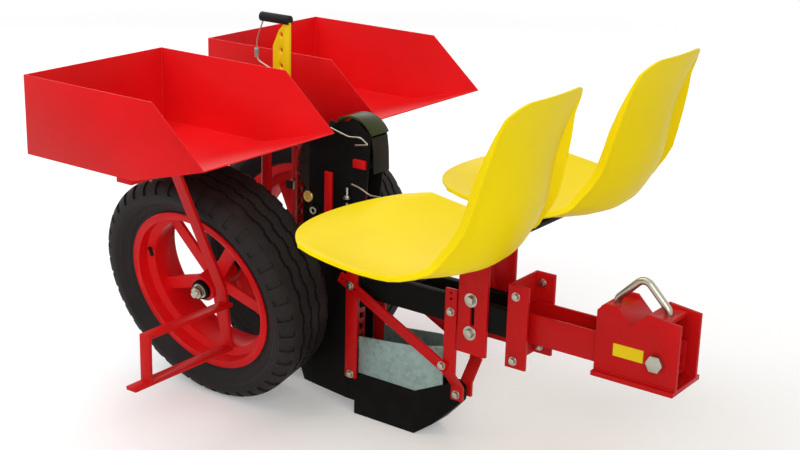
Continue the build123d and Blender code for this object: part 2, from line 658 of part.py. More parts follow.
def chain_slot(radius):
    """The chain's path as a slot with straight runs, at the given radius about the shafts."""
    middle = (CHAIN_TOP_Z + CHAIN_BOTTOM_Z) / 2
    path = SlotCenterToCenter(CHAIN_SPAN, 2 * radius, rotation=90)
    return Plane.XZ * Pos(CHAIN_CENTRE_X, middle, 0) * path


def chain_place(travel):
    """Place on the loop, from the bottom of the front run: X along the chain, Z outwards."""
    bend = pi * CHAIN_R
    travel = travel % (2 * CHAIN_SPAN + 2 * bend)
    if travel < CHAIN_SPAN:
        point, angle = (CHAIN_CENTRE_X + CHAIN_R, CHAIN_BOTTOM_Z + travel), 0.0
    elif travel < CHAIN_SPAN + bend:
        angle = (travel - CHAIN_SPAN) / CHAIN_R
        point = (CHAIN_CENTRE_X + CHAIN_R * cos(angle), CHAIN_TOP_Z + CHAIN_R * sin(angle))
    elif travel < 2 * CHAIN_SPAN + bend:
        point, angle = (CHAIN_CENTRE_X - CHAIN_R, CHAIN_TOP_Z - travel + CHAIN_SPAN + bend), pi
    else:
        angle = pi + (travel - 2 * CHAIN_SPAN - bend) / CHAIN_R
        point = (CHAIN_CENTRE_X + CHAIN_R * cos(angle), CHAIN_BOTTOM_Z + CHAIN_R * sin(angle))
    along = (-sin(angle), 0, cos(angle))
    out = (cos(angle), 0, sin(angle))
    return Plane(origin=(point[0], 0, point[1]), x_dir=along, z_dir=out).location


def planting_chain():
    """Ladder chain, one window for each link."""
    half = CHAIN_THICKNESS / 2
    outer = extrude(chain_slot(CHAIN_R + half), amount=CHAIN_HALF, both=True)
    inner = extrude(chain_slot(CHAIN_R - half), amount=CHAIN_HALF, both=True)
    window = Box(CHAIN_WINDOW[0], CHAIN_WINDOW[1], 4 * CHAIN_THICKNESS)
    windows = [chain_place(CHAIN_PITCH * (n + 0.5)) * window for n in range(CHAIN_LINKS)]
    return outer - inner - windows


def holder_places():
    return [chain_place(CHAIN_PITCH * n) for n in range(0, CHAIN_LINKS, HOLDER_EVERY)]


def holder_pads():
    length, width, height = HOLDER_PAD
    pad = Pos(0, 0, CHAIN_THICKNESS / 2 + height / 2) * Box(length, width, height)
    return Compound([place * pad for place in holder_places()])


def holder_pockets():
    length, width, height = HOLDER_PAD
    base = CHAIN_THICKNESS / 2 + height
    pocket = Pos(0, 0, base + POCKET_HEIGHT / 2) * Box(length, width, POCKET_HEIGHT)
    mouth = Pos(0, 0, base + POCKET_HEIGHT / 2 + POCKET_WALL)
    pocket = pocket - mouth * Box(2 * length, width - 2 * POCKET_WALL, POCKET_HEIGHT)
    return Compound([place * pocket for place in holder_places()])


def sprocket(z):
    root = CHAIN_R - CHAIN_THICKNESS / 2 - RUNNING_GAP
    tooth = Pos(root, 0, 0) * Box(CHAIN_THICKNESS * 2, CHAIN_WINDOW[0] / 2, SPROCKET_THICKNESS)
    turn = 360 / SPROCKET_TEETH
    teeth = [Rot(0, 0, turn * (n + 0.5)) * tooth for n in range(SPROCKET_TEETH)]
    wheel = Cylinder(root, SPROCKET_THICKNESS) + teeth
    shaft = Cylinder(SHAFT_R, 2 * PLATE_INNER_Y)
    return Pos(CHAIN_CENTRE_X, 0, z) * Rot(90, 0, 0) * (wheel + shaft)


CHAIN_REACH = CHAIN_R + CHAIN_THICKNESS / 2 + HOLDER_PAD[2] + POCKET_HEIGHT
GUARD_OFFSET = ((CHAIN_REACH + GUARD_GAP) ** 2 - GUARD_R ** 2) ** 0.5
GUARD_X = CHAIN_CENTRE_X + GUARD_OFFSET * cos(radians(GUARD_LEAN))
GUARD_Z = CHAIN_TOP_Z + GUARD_OFFSET * sin(radians(GUARD_LEAN))


def guard_point(angle):
    """A place just under the hood, at an angle above the forward direction."""
    reach = GUARD_R - RUNNING_GAP
    return GUARD_X + reach * cos(radians(angle)), GUARD_Z + reach * sin(radians(angle))


def planter_plate():
    """Side plate of the planting unit, with a leg down to the lower shaft."""
    leg = (CHAIN_CENTRE_X - PLATE_LEG_HALF, CHAIN_CENTRE_X + PLATE_LEG_HALF)
    foot = CHAIN_BOTTOM_Z - PLATE_LEG_HALF
    hood = [guard_point(angle) for angle in (GUARD_ANGLES[1], sum(GUARD_ANGLES) / 2, GUARD_ANGLES[0])]
    top = CHAIN_TOP_Z + PLATE_RISE
    outline = [(PLATE_REAR_X, top), (CHAIN_CENTRE_X, top)] + hood + [
        (PLATE_FRONT_X, CHAIN_TOP_Z - PLATE_FRONT_DROP), (PLATE_FOOT_X, RAIL_BOTTOM_Z),
        (leg[1], RAIL_BOTTOM_Z), (leg[1], foot), (leg[0], foot), (leg[0], RAIL_BOTTOM_Z),
        (PLATE_REAR_X, RAIL_BOTTOM_Z),
    ]
    return plate(outline, (-PLATE_OUTER_Y, -PLATE_INNER_Y))


def plate_stay():
    y = (-PLATE_OUTER_Y - FLAT, -PLATE_OUTER_Y)
    return block(STAY_X, y, (RAIL_TOP_Z, CHAIN_TOP_Z + STAY_RISE))


def chain_cover():
    """Sheet beside the rear run of the chain, on the left only."""
    z = (RAIL_TOP_Z, CHAIN_TOP_Z + COVER_RISE)
    return block((COVER_REAR_X, PLATE_REAR_X), (PLATE_INNER_Y, PLATE_OUTER_Y), z)


def top_guard():
    """Curved hood over the front of the planting unit."""
    span = GUARD_ANGLES[1] - GUARD_ANGLES[0]
    band = Rectangle(GUARD_SHEET, 2 * PLATE_OUTER_Y)
    section = Plane.XY * Pos(GUARD_R + GUARD_SHEET / 2, 0) * band
    hood = revolve(section, axis=Axis.Y, revolution_arc=-span)
    return Pos(GUARD_X, 0, GUARD_Z) * Rot(0, -GUARD_ANGLES[0], 0) * hood


def lever():
    """Flat hand lever with a rear arm, stood between the trays, its rear edge sloped in to the grip."""
    neck = LEVER_PIVOT_Z + LEVER_NECK
    arm_top = LEVER_FOOT_Z + LEVER_ARM_HEIGHT
    outline = [
        (LEVER_ARM_X, LEVER_FOOT_Z), (LEVER_X[1] - LEVER_TAPER[1], LEVER_FOOT_Z), (LEVER_X[1], neck),
        (LEVER_X[1], LEVER_TOP_Z), (LEVER_X[1] - LEVER_TIP, LEVER_TOP_Z),
        (LEVER_X[0] + LEVER_SHOULDER[0], LEVER_TOP_Z - LEVER_SHOULDER[1]),
        (LEVER_X[0], LEVER_TOP_Z - LEVER_SLOPE), (LEVER_X[0], neck),
        (LEVER_X[0] - LEVER_TAPER[0], arm_top), (LEVER_ARM_X, arm_top),
    ]
    blade = plate(outline, (-FLAT / 2, FLAT / 2))
    middle = (LEVER_X[0] + LEVER_X[1]) / 2
    drops = [LEVER_HOLE_DROP + LEVER_HOLE_PITCH * n for n in range(LEVER_HOLES)]
    holes = [cross_pin(middle, LEVER_TOP_Z - drop, LEVER_HOLE_R, (-FLAT, FLAT)) for drop in drops]
    return blade - holes - cross_pin(LEVER_PIVOT_X, LEVER_PIVOT_Z, PIN_R, (-FLAT, FLAT))


def lever_bracket():
    """Two lugs on the tray crossbar with the lever's pin."""
    inner = FLAT / 2 + RUNNING_GAP
    outer = inner + LUG_THICKNESS
    x = (LEVER_PIVOT_X - LUG_HALF, LEVER_PIVOT_X + LUG_HALF)
    z = (TRAY_FLOOR_Z, LEVER_PIVOT_Z + LUG_HALF)
    lugs = [block(x, y, z) for y in ((-outer, -inner), (inner, outer))]
    pin_y = (-outer - LUG_THICKNESS, outer + LUG_THICKNESS)
    return cross_pin(LEVER_PIVOT_X, LEVER_PIVOT_Z, PIN_R, pin_y) + lugs


def lever_grip():
    z = LEVER_TOP_Z + GRIP_R / 2
    middle = (GRIP_X[0] + GRIP_X[1]) / 2
    grip = Pos(middle, 0, z) * Rot(0, 90, 0) * Cylinder(GRIP_R, GRIP_X[1] - GRIP_X[0])
    notch_x = (LEVER_X[0] + LEVER_SHOULDER[0], LEVER_X[1])
    return grip - block(notch_x, (-FLAT / 2, FLAT / 2), (0, LEVER_TOP_Z))


def lift_rod():
    """Rod from the lever's rear arm down to the first spacer between the rails."""
    low = RAIL_MIDDLE_Z + RAIL_SPACER_R
    return Pos(RAIL_SPACER_X[0], 0, (low + LEVER_FOOT_Z) / 2) * Cylinder(ROD_R, LEVER_FOOT_Z - low)


def hitch_bracket():
    """Channel across the rails' front ends, open to the front."""
    web = block((RAIL_FRONT_X, RAIL_FRONT_X + BRACKET_SHEET), (-SIDE_Y, SIDE_Y), BRACKET_Z)
    flange_x = (RAIL_FRONT_X, BRACKET_FRONT_X)
    right = block(flange_x, (-SIDE_Y, BRACKET_SHEET - SIDE_Y), BRACKET_Z)
    return web + [right, left_of(right)]


def tongue():
    """Channel beam, open at the top, from the bracket to the pivot bolt."""
    x = (RAIL_FRONT_X + BRACKET_SHEET, TONGUE_FRONT_X)
    inside = TONGUE_HALF - TONGUE_WALL
    beam = block(x, (-TONGUE_HALF, TONGUE_HALF), TONGUE_Z)
    beam = beam - block(x, (-inside, inside), (TONGUE_Z[0] + TONGUE_WALL, TONGUE_Z[1]))
    hole = PIVOT_R + RUNNING_GAP
    return beam - cross_pin(PIVOT_X, PIVOT_Z, hole, (-2 * TONGUE_HALF, 2 * TONGUE_HALF))


def saddle_outline():
    """Folded V seat for the toolbar, its ears level."""
    run = SADDLE_EAR_Z - SADDLE_V_Z
    drop = SADDLE_SHEET * tan(radians(22.5))
    top = [
        (SADDLE_X[0], SADDLE_EAR_Z), (TOOLBAR_X - run, SADDLE_EAR_Z), (TOOLBAR_X, SADDLE_V_Z),
        (TOOLBAR_X + run, SADDLE_EAR_Z), (SADDLE_X[1], SADDLE_EAR_Z),
    ]
    low = SADDLE_EAR_Z - SADDLE_SHEET
    bottom = [
        (SADDLE_X[1], low), (TOOLBAR_X + run + drop, low),
        (TOOLBAR_X, SADDLE_V_Z - SADDLE_SHEET * 2 ** 0.5), (TOOLBAR_X - run - drop, low), (SADDLE_X[0], low),
    ]
    return top + bottom


def toolbar_clamp():
    """Cheek plates on a base, with the V saddle between them."""
    shoulder = SADDLE_V_Z + CLAMP_SHOULDER
    corner, nose = CLAMP_CORNERS
    cheek = [
        (CLAMP_X[0], CLAMP_BASE_TOP_Z), (CLAMP_X[1], CLAMP_BASE_TOP_Z), (CLAMP_X[1], shoulder - nose),
        (TOOLBAR_X + CLAMP_SHOULDER, shoulder), (TOOLBAR_X, SADDLE_V_Z),
        (TOOLBAR_X - CLAMP_SHOULDER, shoulder), (CLAMP_X[0] + corner, shoulder),
        (CLAMP_X[0], shoulder - corner),
    ]
    right = plate(cheek, (-CHEEK_OUTER_Y, -CHEEK_INNER_Y))
    base_z = (CLAMP_BASE_TOP_Z - CLAMP_BASE, CLAMP_BASE_TOP_Z)
    base = block(CLAMP_X, (-CLAMP_BASE_HALF, CLAMP_BASE_HALF), base_z)
    saddle = plate(saddle_outline(), (-CHEEK_INNER_Y, CHEEK_INNER_Y))
    body = base + [right, left_of(right), saddle]
    hole = cross_pin(PIVOT_X, PIVOT_Z, PIVOT_R, (-CHEEK_OUTER_Y, CHEEK_OUTER_Y))
    leg = Cylinder(U_BOLT_R + RUNNING_GAP, 4 * SADDLE_SHEET)
    legs = [Pos(TOOLBAR_X + side * U_BOLT_HALF, 0, SADDLE_EAR_Z) * leg for side in (-1, 1)]
    return body - hole - legs


def u_bolt():
    """Bent rod over the toolbar, with a nut under each ear."""
    apex = SADDLE_V_Z + TOOLBAR_SIDE * 2 ** 0.5 + (U_BOLT_R + RUNNING_GAP) * 2 ** 0.5
    knee = apex - U_BOLT_HALF
    foot = SADDLE_EAR_Z - U_BOLT_TAIL
    rear, front = TOOLBAR_X - U_BOLT_HALF, TOOLBAR_X + U_BOLT_HALF
    route = [(rear, 0, foot), (rear, 0, knee), (TOOLBAR_X, 0, apex), (front, 0, knee), (front, 0, foot)]
    path = FilletPolyline(*route, radius=U_BOLT_ROUND)
    rod = sweep(Plane(origin=route[0], z_dir=(0, 0, 1)) * Circle(U_BOLT_R), path=path)
    low = SADDLE_EAR_Z - SADDLE_SHEET
    nut = extrude(RegularPolygon(NUT_CORNER_SHARE * U_BOLT_R, 6), amount=-NUT_HEIGHT_SHARE * U_BOLT_R)
    nuts = [Pos(TOOLBAR_X + side * U_BOLT_HALF, 0, low) * nut for side in (-1, 1)]
    return rod + nuts


def pivot_bolt():
    """Hex-headed bolt through the cheeks and the tongue."""
    shank = cross_pin(PIVOT_X, PIVOT_Z, PIVOT_R, (-CHEEK_OUTER_Y, CHEEK_OUTER_Y + PIVOT_HEAD))
    hexagon = Plane.XZ * Pos(PIVOT_X, PIVOT_Z, 0) * RegularPolygon(PIVOT_HEAD_R, 6)
    head = Pos(0, -CHEEK_OUTER_Y, 0) * extrude(hexagon, amount=PIVOT_HEAD)
    nut = Pos(0, CHEEK_OUTER_Y + PIVOT_HEAD, 0) * extrude(hexagon, amount=PIVOT_HEAD)
    return shank + [head, nut]


# Pieces on the right-hand side, each with a left-hand copy
PAIRED = {
    "frame_rail": rail,
    "axle": axle,
    "tyre": tyre,
    "rim": rim,
    "tray": tray,
    "tray_upright": tray_upright,
    "foot_rest": foot_rest,
    "seat_post": seat_post,
    "seat": seat,
    "shoe_hanger": shoe_hanger,
    "shoe_strap": shoe_strap,
    "shoe_brace": shoe_brace,
    "shoe_shield": shoe_shield,
    "planter_plate": planter_plate,
    "plate_stay": plate_stay,
}

# Pieces on the centre plane
SINGLE = {
    "rail_spacers": rail_spacers,
    "tray_crossbar": tray_crossbar,
    "seat_crossbar": seat_crossbar,
    "shoe": shoe,
    "planting_chain": planting_chain,
    "holder_pads": holder_pads,
    "holder_pockets": holder_pockets,
    "top_sprocket": lambda: sprocket(CHAIN_TOP_Z),
    "bottom_sprocket": lambda: sprocket(CHAIN_BOTTOM_Z),
    "top_guard": top_guard,
    "chain_cover": chain_cover,
    "lever": lever,
    "lever_bracket": lever_bracket,
    "lever_grip": lever_grip,
    "lift_rod": lift_rod,
    "hitch_bracket": hitch_bracket,
    "tongue": tongue,
    "toolbar_clamp": toolbar_clamp,
    "u_bolt": u_bolt,
    "pivot_bolt": pivot_bolt,
}

os.makedirs("parts", exist_ok=True)
to_origin = Pos(-CENTRE_X, 0, 0)
for name, make in PAIRED.items():
    right_piece = make()
    export_step(to_origin * right_piece, f"parts/{name}_right.step")
    export_step(to_origin * left_of(right_piece), f"parts/{name}_left.step")
for name, make in SINGLE.items():
    export_step(to_origin * make(), f"parts/{name}.step")
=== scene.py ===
import json
from math import atan2, cos, hypot, pi, radians, sin

import bpy
from bpy.props import FloatProperty, FloatVectorProperty, IntProperty, PointerProperty
from mathutils import Matrix, Vector


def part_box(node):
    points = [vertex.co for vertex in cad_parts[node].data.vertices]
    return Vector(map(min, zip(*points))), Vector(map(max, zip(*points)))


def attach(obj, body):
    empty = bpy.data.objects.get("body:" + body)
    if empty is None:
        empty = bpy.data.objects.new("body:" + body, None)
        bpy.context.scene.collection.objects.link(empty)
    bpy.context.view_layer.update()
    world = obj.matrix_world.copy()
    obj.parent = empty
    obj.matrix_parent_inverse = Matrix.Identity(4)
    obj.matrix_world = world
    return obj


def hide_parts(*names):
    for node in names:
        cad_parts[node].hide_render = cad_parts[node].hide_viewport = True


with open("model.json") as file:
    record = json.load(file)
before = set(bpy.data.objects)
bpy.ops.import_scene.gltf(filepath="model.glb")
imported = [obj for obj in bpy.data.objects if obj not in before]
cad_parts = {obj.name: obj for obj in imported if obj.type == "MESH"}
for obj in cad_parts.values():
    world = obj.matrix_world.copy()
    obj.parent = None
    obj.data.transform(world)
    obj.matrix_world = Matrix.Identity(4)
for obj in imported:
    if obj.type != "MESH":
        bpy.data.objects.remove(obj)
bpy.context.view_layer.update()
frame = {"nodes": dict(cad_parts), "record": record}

bl_info = {
    "name": "Bare Root Transplanter Dressing",
    "version": (1, 0, 0),
    "blender": (4, 5, 0),
    "location": "View3D > Sidebar > Transplanter",
    "description": "Dresses a two-seat bare root transplanter with its finishes, fasteners and studio",
    "category": "Object",
}

# What the frame says: the body, slot or joint of each piece
BODY_OF = {node: body for body, nodes in frame["record"]["behaviour"]["bodies"].items() for node in nodes}
SLOT_OF = {row["node"]: row["material_slot"] for row in frame["record"]["subparts"]}
JOINT_OF = {joint["child"]: joint for joint in frame["record"]["behaviour"]["joints"]}
# The two sides of the machine, with the way out of it and the share of a piece's width at its outer face
SIDES = ("right", "left")
UP, DOWN = Vector((0, 0, 1)), Vector((0, 0, -1))
OUTWARD = {"right": Vector((0, -1, 0)), "left": Vector((0, 1, 0))}
OUTER = {"right": 0.0, "left": 1.0}


class PaintColours(bpy.types.PropertyGroup):
    """Base colours of the finishes."""

    red: FloatVectorProperty(
        name="Tray red", description="Plant trays and wheels",
        subtype="COLOR", default=(0.72, 0.004, 0.006),
    )
    # Painted shade: frame red is the tray red darkened for the shade that the lower posts, bars and hitch
    # stand in
    shaded_frame_red: FloatVectorProperty(
        name="Frame red", description="Posts, bars and hitch",
        subtype="COLOR", default=(0.55, 0.004, 0.005),
    )
    yellow: FloatVectorProperty(
        name="Seat yellow", description="Moulded seat shells",
        subtype="COLOR", default=(0.90, 0.69, 0.001),
    )
    lever: FloatVectorProperty(
        name="Lever yellow", description="Hand lever",
        subtype="COLOR", default=(0.88, 0.64, 0.004),
    )
    black: FloatVectorProperty(
        name="Black enamel", description="Rails, shoe and planting unit",
        subtype="COLOR", default=(0.004, 0.004, 0.0035),
    )
    green: FloatVectorProperty(
        name="Hood green", description="Hood over the planting chain",
        subtype="COLOR", default=(0.034, 0.040, 0.009),
    )
    rubber: FloatVectorProperty(
        name="Rubber", description="Tyres, grip and plant pockets",
        subtype="COLOR", default=(0.014, 0.012, 0.012),
    )
    galvanised: FloatVectorProperty(
        name="Galvanised sheet", description="Shields beside the shoe",
        subtype="COLOR", default=(0.27, 0.37, 0.35),
    )
    zinc: FloatVectorProperty(
        name="Zinc plate", description="Bolts, nuts and washers",
        subtype="COLOR", default=(0.44, 0.42, 0.35),
    )
    brass: FloatVectorProperty(
        name="Brass", description="Cap beside the planting shaft",
        subtype="COLOR", default=(0.62, 0.42, 0.12),
    )


class WorkSizes(bpy.types.PropertyGroup):
    """Sizes of what is added to the frame."""

    edge: FloatProperty(
        name="Edge round", description="Round on the edges of bar and plate",
        default=0.0011, unit="LENGTH",
    )
    seat_edge: FloatProperty(
        name="Seat edge", description="Round on the rims of the seat shells",
        default=0.0022, unit="LENGTH",
    )
    post_bolt: FloatProperty(
        name="Post bolt", description="Half the width of a seat post bolt's head",
        default=0.0095, unit="LENGTH",
    )
    frame_bolt: FloatProperty(
        name="Frame bolt", description="Half the width of a frame bolt's head",
        default=0.0066, unit="LENGTH",
    )
    small_bolt: FloatProperty(
        name="Small bolt", description="Half the width of a small nut",
        default=0.0055, unit="LENGTH",
    )
    hub_nut: FloatProperty(
        name="Hub nut", description="Half the width of a wheel spindle's nut",
        default=0.0135, unit="LENGTH",
    )
    tyre_steps: IntProperty(
        name="Tyre steps", description="Steps round a tyre",
        default=240, min=48,
    )
    shoulder: FloatProperty(
        name="Tyre shoulder", description="Round between tread and side of a tyre",
        default=0.035, unit="LENGTH",
    )
    groove: FloatProperty(
        name="Tread groove", description="Depth of the grooves round the tyre",
        default=0.006, unit="LENGTH",
    )
    notch: FloatProperty(
        name="Shoulder notch", description="Depth of the notches in a tyre's shoulders",
        default=0.0035, unit="LENGTH",
    )
    wire: FloatProperty(
        name="Guide wire", description="Radius of the bent wires",
        default=0.0023, unit="LENGTH",
    )
    bead: FloatProperty(
        name="Weld bead", description="Radius of a weld bead",
        default=0.0032, unit="LENGTH",
    )


class Signal:
    """A socket that can be used in arithmetic."""

    def __init__(self, finish, socket):
        self.finish = finish
        self.socket = socket

    def _math(self, operation, first, second):
        return self.finish.node("ShaderNodeMath", {"operation": operation}, {0: first, 1: second})

    def __add__(self, other):
        return self._math("ADD", self, other)

    def __radd__(self, other):
        return self._math("ADD", other, self)

    def __sub__(self, other):
        return self._math("SUBTRACT", self, other)

    def __rsub__(self, other):
        return self._math("SUBTRACT", other, self)

    def __mul__(self, other):
        return self._math("MULTIPLY", self, other)

    def __rmul__(self, other):
        return self._math("MULTIPLY", other, self)


class Nodes:
    """A node tree, built from one kind of call."""

    def __init__(self, owner, output):
        owner.use_nodes = True
        self.tree = owner.node_tree
        self.tree.nodes.clear()
        self.output = self.tree.nodes.new(output)

    def node(self, kind, settings=None, sockets=None, output=0):
        """Adds a node, sets it, fills or links its sockets, and gives one of its outputs."""
        made = self.tree.nodes.new(kind)
        for key, value in (settings or {}).items():
            setattr(made, key, value)
        for key, value in (sockets or {}).items():
            if isinstance(value, Signal):
                self.tree.links.new(value.socket, made.inputs[key])
            else:
                made.inputs[key].default_value = value
        return Signal(self, made.outputs[output])

    def surface(self, shader):
        self.tree.links.new(shader.socket, self.output.inputs["Surface"])

    def seen(self):
        """1 on what the camera sees straight, in a mirror or through glass, else 0."""
        rays = ("Is Camera Ray", "Is Glossy Ray", "Is Transmission Ray")
        camera, glossy, through = (self.node("ShaderNodeLightPath", output=ray) for ray in rays)
        return camera + glossy + through


# Sockets of a colour Mix node: first colour, second colour and result
MIX_FIRST, MIX_SECOND, MIX_RESULT = 6, 7, 2


class Finish(Nodes):
    """A node material."""

    def __init__(self, name):
        self.material = bpy.data.materials.new(name)
        super().__init__(self.material, "ShaderNodeOutputMaterial")

    def place(self):
        """Object coordinates."""
        return self.node("ShaderNodeTexCoord", output="Object")

    def noise(self, scale, detail=3.0, roughness=0.5, stretch=(1.0, 1.0, 1.0)):
        spot = self.node("ShaderNodeMapping", None, {"Vector": self.place(), "Scale": stretch})
        inputs = {"Vector": spot, "Scale": scale, "Detail": detail, "Roughness": roughness}
        return self.node("ShaderNodeTexNoise", None, inputs)

    def band(self, value, low, high):
        """0 below low, 1 above high."""
        limits = {"Value": value, "From Min": low, "From Max": high}
        return self.node("ShaderNodeMapRange", {"clamp": True}, limits)

    def mix(self, factor, first, second):
        sockets = {"Factor": factor, MIX_FIRST: solid(first), MIX_SECOND: solid(second)}
        return self.node("ShaderNodeMix", {"data_type": "RGBA"}, sockets, MIX_RESULT)

    def mottled(self, factor, colour, dark, light):
        """A colour that wanders between a darker and a lighter shade of it."""
        return self.mix(factor, shade_of(colour, dark), shade_of(colour, light))

    def bump(self, height, strength, distance):
        sockets = {"Height": height, "Strength": strength, "Distance": distance}
        return self.node("ShaderNodeBump", None, sockets)

    def shade(self, **sockets):
        """Ends the material in a shader whose sockets are given with _ for a space."""
        names = {key.replace("_", " "): value for key, value in sockets.items()}
        self.surface(self.node("ShaderNodeBsdfPrincipled", None, names))
        return self.material


def solid(colour):
    """A colour socket's value, from a link or from three numbers."""
    return colour if isinstance(colour, Signal) else (*colour, 1.0)


def shade_of(colour, factor):
    """A colour made lighter or darker."""
    return tuple(channel * factor for channel in colour)


# Colours of field dust on paint and on rubber, heights between which it thins out, and share left above
PAINT_DUST = (0.16, 0.12, 0.085)
RUBBER_DUST = (0.050, 0.043, 0.039)
DUST_HEIGHTS = (0.02, 0.35)
HIGH_DUST = 0.25


def enamel(name, colour, roughness=0.36, shine=0.13, coat=0.03, dust=0.08):
    """Sprayed gloss paint with slight orange peel and a little dust low down."""
    finish = Finish(name)
    cloud = finish.noise(scale=4.0, detail=4.0)
    height = finish.node("ShaderNodeSeparateXYZ", None, {0: finish.place()}, output="Z")
    lowness = 1 - finish.band(height, *DUST_HEIGHTS)
    patches = finish.band(finish.noise(scale=22.0, detail=6.0, roughness=0.6), low=0.50, high=0.74)
    grime = patches * (dust * lowness + HIGH_DUST * dust)
    tone = finish.mottled(finish.band(cloud, low=0.35, high=0.65), colour, dark=0.90, light=1.06)
    base = finish.mix(grime, tone, PAINT_DUST)
    peel = finish.noise(scale=520.0, detail=2.0)
    return finish.shade(
        Base_Color=base,
        Roughness=roughness + 0.10 * cloud + 0.5 * grime,
        Specular_IOR_Level=shine,
        Coat_Weight=coat,
        Coat_Roughness=0.14,
        Normal=finish.bump(peel, strength=0.05, distance=0.0006),
    )


def moulded_shell(name, colour):
    """Glossy moulded plastic, a touch lighter where it is rubbed."""
    finish = Finish(name)
    cloud = finish.noise(scale=3.0)
    fine = finish.noise(scale=90.0, detail=4.0)
    tone = finish.mottled(finish.band(cloud, low=0.3, high=0.7), colour, dark=0.95, light=1.04)
    return finish.shade(
        Base_Color=tone,
        Roughness=0.36 + 0.10 * fine,
        Specular_IOR_Level=0.07,
        Coat_Weight=0.02,
        Coat_Roughness=0.2,
        Normal=finish.bump(finish.noise(scale=900.0, detail=2.0), strength=0.04, distance=0.0004),
    )


def tyre_rubber(name, colour):
    """Black tyre rubber, greyed in patches by dry dust."""
    finish = Finish(name)
    dust = finish.band(finish.noise(scale=7.0, detail=8.0, roughness=0.65), low=0.46, high=0.74)
    base = finish.mix(0.4 * dust, colour, RUBBER_DUST)
    grain = finish.noise(scale=300.0, detail=4.0, roughness=0.6)
    return finish.shade(
        Base_Color=base,
        Roughness=0.55 + 0.22 * dust,
        Specular_IOR_Level=0.15,
        Normal=finish.bump(grain, strength=0.12, distance=0.0008),
    )


def soft_rubber(name, colour):
    """Grained rubber of grips, flaps and plant pockets."""
    finish = Finish(name)
    grain = finish.noise(scale=240.0, detail=4.0, roughness=0.6)
    tone = finish.mottled(finish.noise(scale=18.0), colour, dark=0.8, light=1.5)
    return finish.shade(
        Base_Color=tone,
        Roughness=0.52 + 0.15 * grain,
        Specular_IOR_Level=0.12,
        Normal=finish.bump(grain, strength=0.15, distance=0.0006),
    )


def galvanised_sheet(name, colour):
    """Zinc-dipped sheet with a faint spangle."""
    finish = Finish(name)
    sockets = {"Vector": finish.place(), "Scale": 95.0}
    spangle = finish.node("ShaderNodeTexVoronoi", {"feature": "F1"}, sockets, "Color")
    grey = finish.node("ShaderNodeSeparateColor", None, {0: spangle}, output=0)
    cloud = finish.noise(scale=9.0, detail=4.0)
    base = finish.mottled(grey, colour, dark=0.86, light=1.12)
    return finish.shade(
        Base_Color=base,
        Metallic=0.5,
        Roughness=0.36 + 0.14 * grey + 0.08 * cloud,
        Normal=finish.bump(cloud, strength=0.06, distance=0.001),
    )


def plated_steel(name, colour, roughness=0.24):
    """Bright metal, slightly brushed."""
    finish = Finish(name)
    streak = finish.noise(scale=160.0, stretch=(1.0, 1.0, 0.12))
    tone = finish.mottled(finish.noise(scale=40.0), colour, dark=0.82, light=1.1)
    return finish.shade(
        Base_Color=tone,
        Metallic=1.0,
        Roughness=roughness + 0.16 * streak,
        Normal=finish.bump(streak, strength=0.05, distance=0.0004),
    )


def worn_chain(name, colour, steel):
    """Red paint that has worn through to steel in places."""
    finish = Finish(name)
    wear = finish.band(finish.noise(scale=70.0, detail=6.0, roughness=0.65), low=0.56, high=0.66)
    base = finish.mix(wear, shade_of(colour, 0.62), shade_of(steel, 0.5))
    return finish.shade(Base_Color=base, Metallic=0.75 * wear, Roughness=0.42 - 0.1 * wear)


# Gloss and dust of the enamels that aren't red
BLACK_GLOSS = {"roughness": 0.46, "shine": 0.06, "coat": 0.01, "dust": 0.03}
GREEN_GLOSS = {"roughness": 0.42, "shine": 0.14, "coat": 0.03, "dust": 0.05}
YELLOW_GLOSS = {"roughness": 0.36, "shine": 0.14, "coat": 0.04, "dust": 0.04}
# Materials by the record's slot, or by their own name where a slot has two; red_paint has the tray red on
# trays and rims, and elsewhere the same red darkened as painted shade
FINISHES = {}


def make_finishes():
    """Fills the table of finishes from the colours of the panel."""
    paint = bpy.context.scene.transplanter_paint
    shaded_frame_red, zinc = tuple(paint.shaded_frame_red), tuple(paint.zinc)
    FINISHES.update({
        # Painted shade: the frame's enamel is the tray red made darker
        "red_paint": enamel("frame_red_enamel", shaded_frame_red),
        "tray_red": enamel("tray_red_enamel", tuple(paint.red)),
        "black_paint": enamel("black_enamel", tuple(paint.black), **BLACK_GLOSS),
        "green_paint": enamel("hood_green_enamel", tuple(paint.green), **GREEN_GLOSS),
        "yellow_paint": enamel("lever_yellow_enamel", tuple(paint.lever), **YELLOW_GLOSS),
        "yellow_shell": moulded_shell("seat_yellow_plastic", tuple(paint.yellow)),
        "tyre": tyre_rubber("tyre_rubber", tuple(paint.rubber)),
        "black_rubber": soft_rubber("soft_black_rubber", tuple(paint.rubber)),
        "galvanised_sheet": galvanised_sheet("galvanised_sheet", tuple(paint.galvanised)),
        "bright_steel": plated_steel("zinc_plate", zinc),
        # The chain's red starts from the frame red, which is darkened as painted shade
        "chain_steel": worn_chain("worn_red_chain", shaded_frame_red, zinc),
        "brass": plated_steel("brass", tuple(paint.brass), roughness=0.3),
        "dark_steel": plated_steel("oiled_dark_steel", shade_of(zinc, 0.12), roughness=0.5),
    })


def sizes():
    """The panel's sizes."""
    return bpy.context.scene.transplanter_sizes


def only(piece):
    """Selects one object and makes it active."""
    bpy.ops.object.select_all(action="DESELECT")
    piece.select_set(True)
    bpy.context.view_layer.objects.active = piece


def settle(piece, name, slot, body, finish=None):
    """Names a piece, bakes its place into its mesh, and gives it its finish and its body."""
    only(piece)
    bpy.ops.object.transform_apply(location=True, rotation=True, scale=True)
    piece.name = name
    piece.data.name = name
    piece.data.materials.clear()
    piece.data.materials.append(FINISHES[finish or slot])
    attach(piece, body)
    return piece


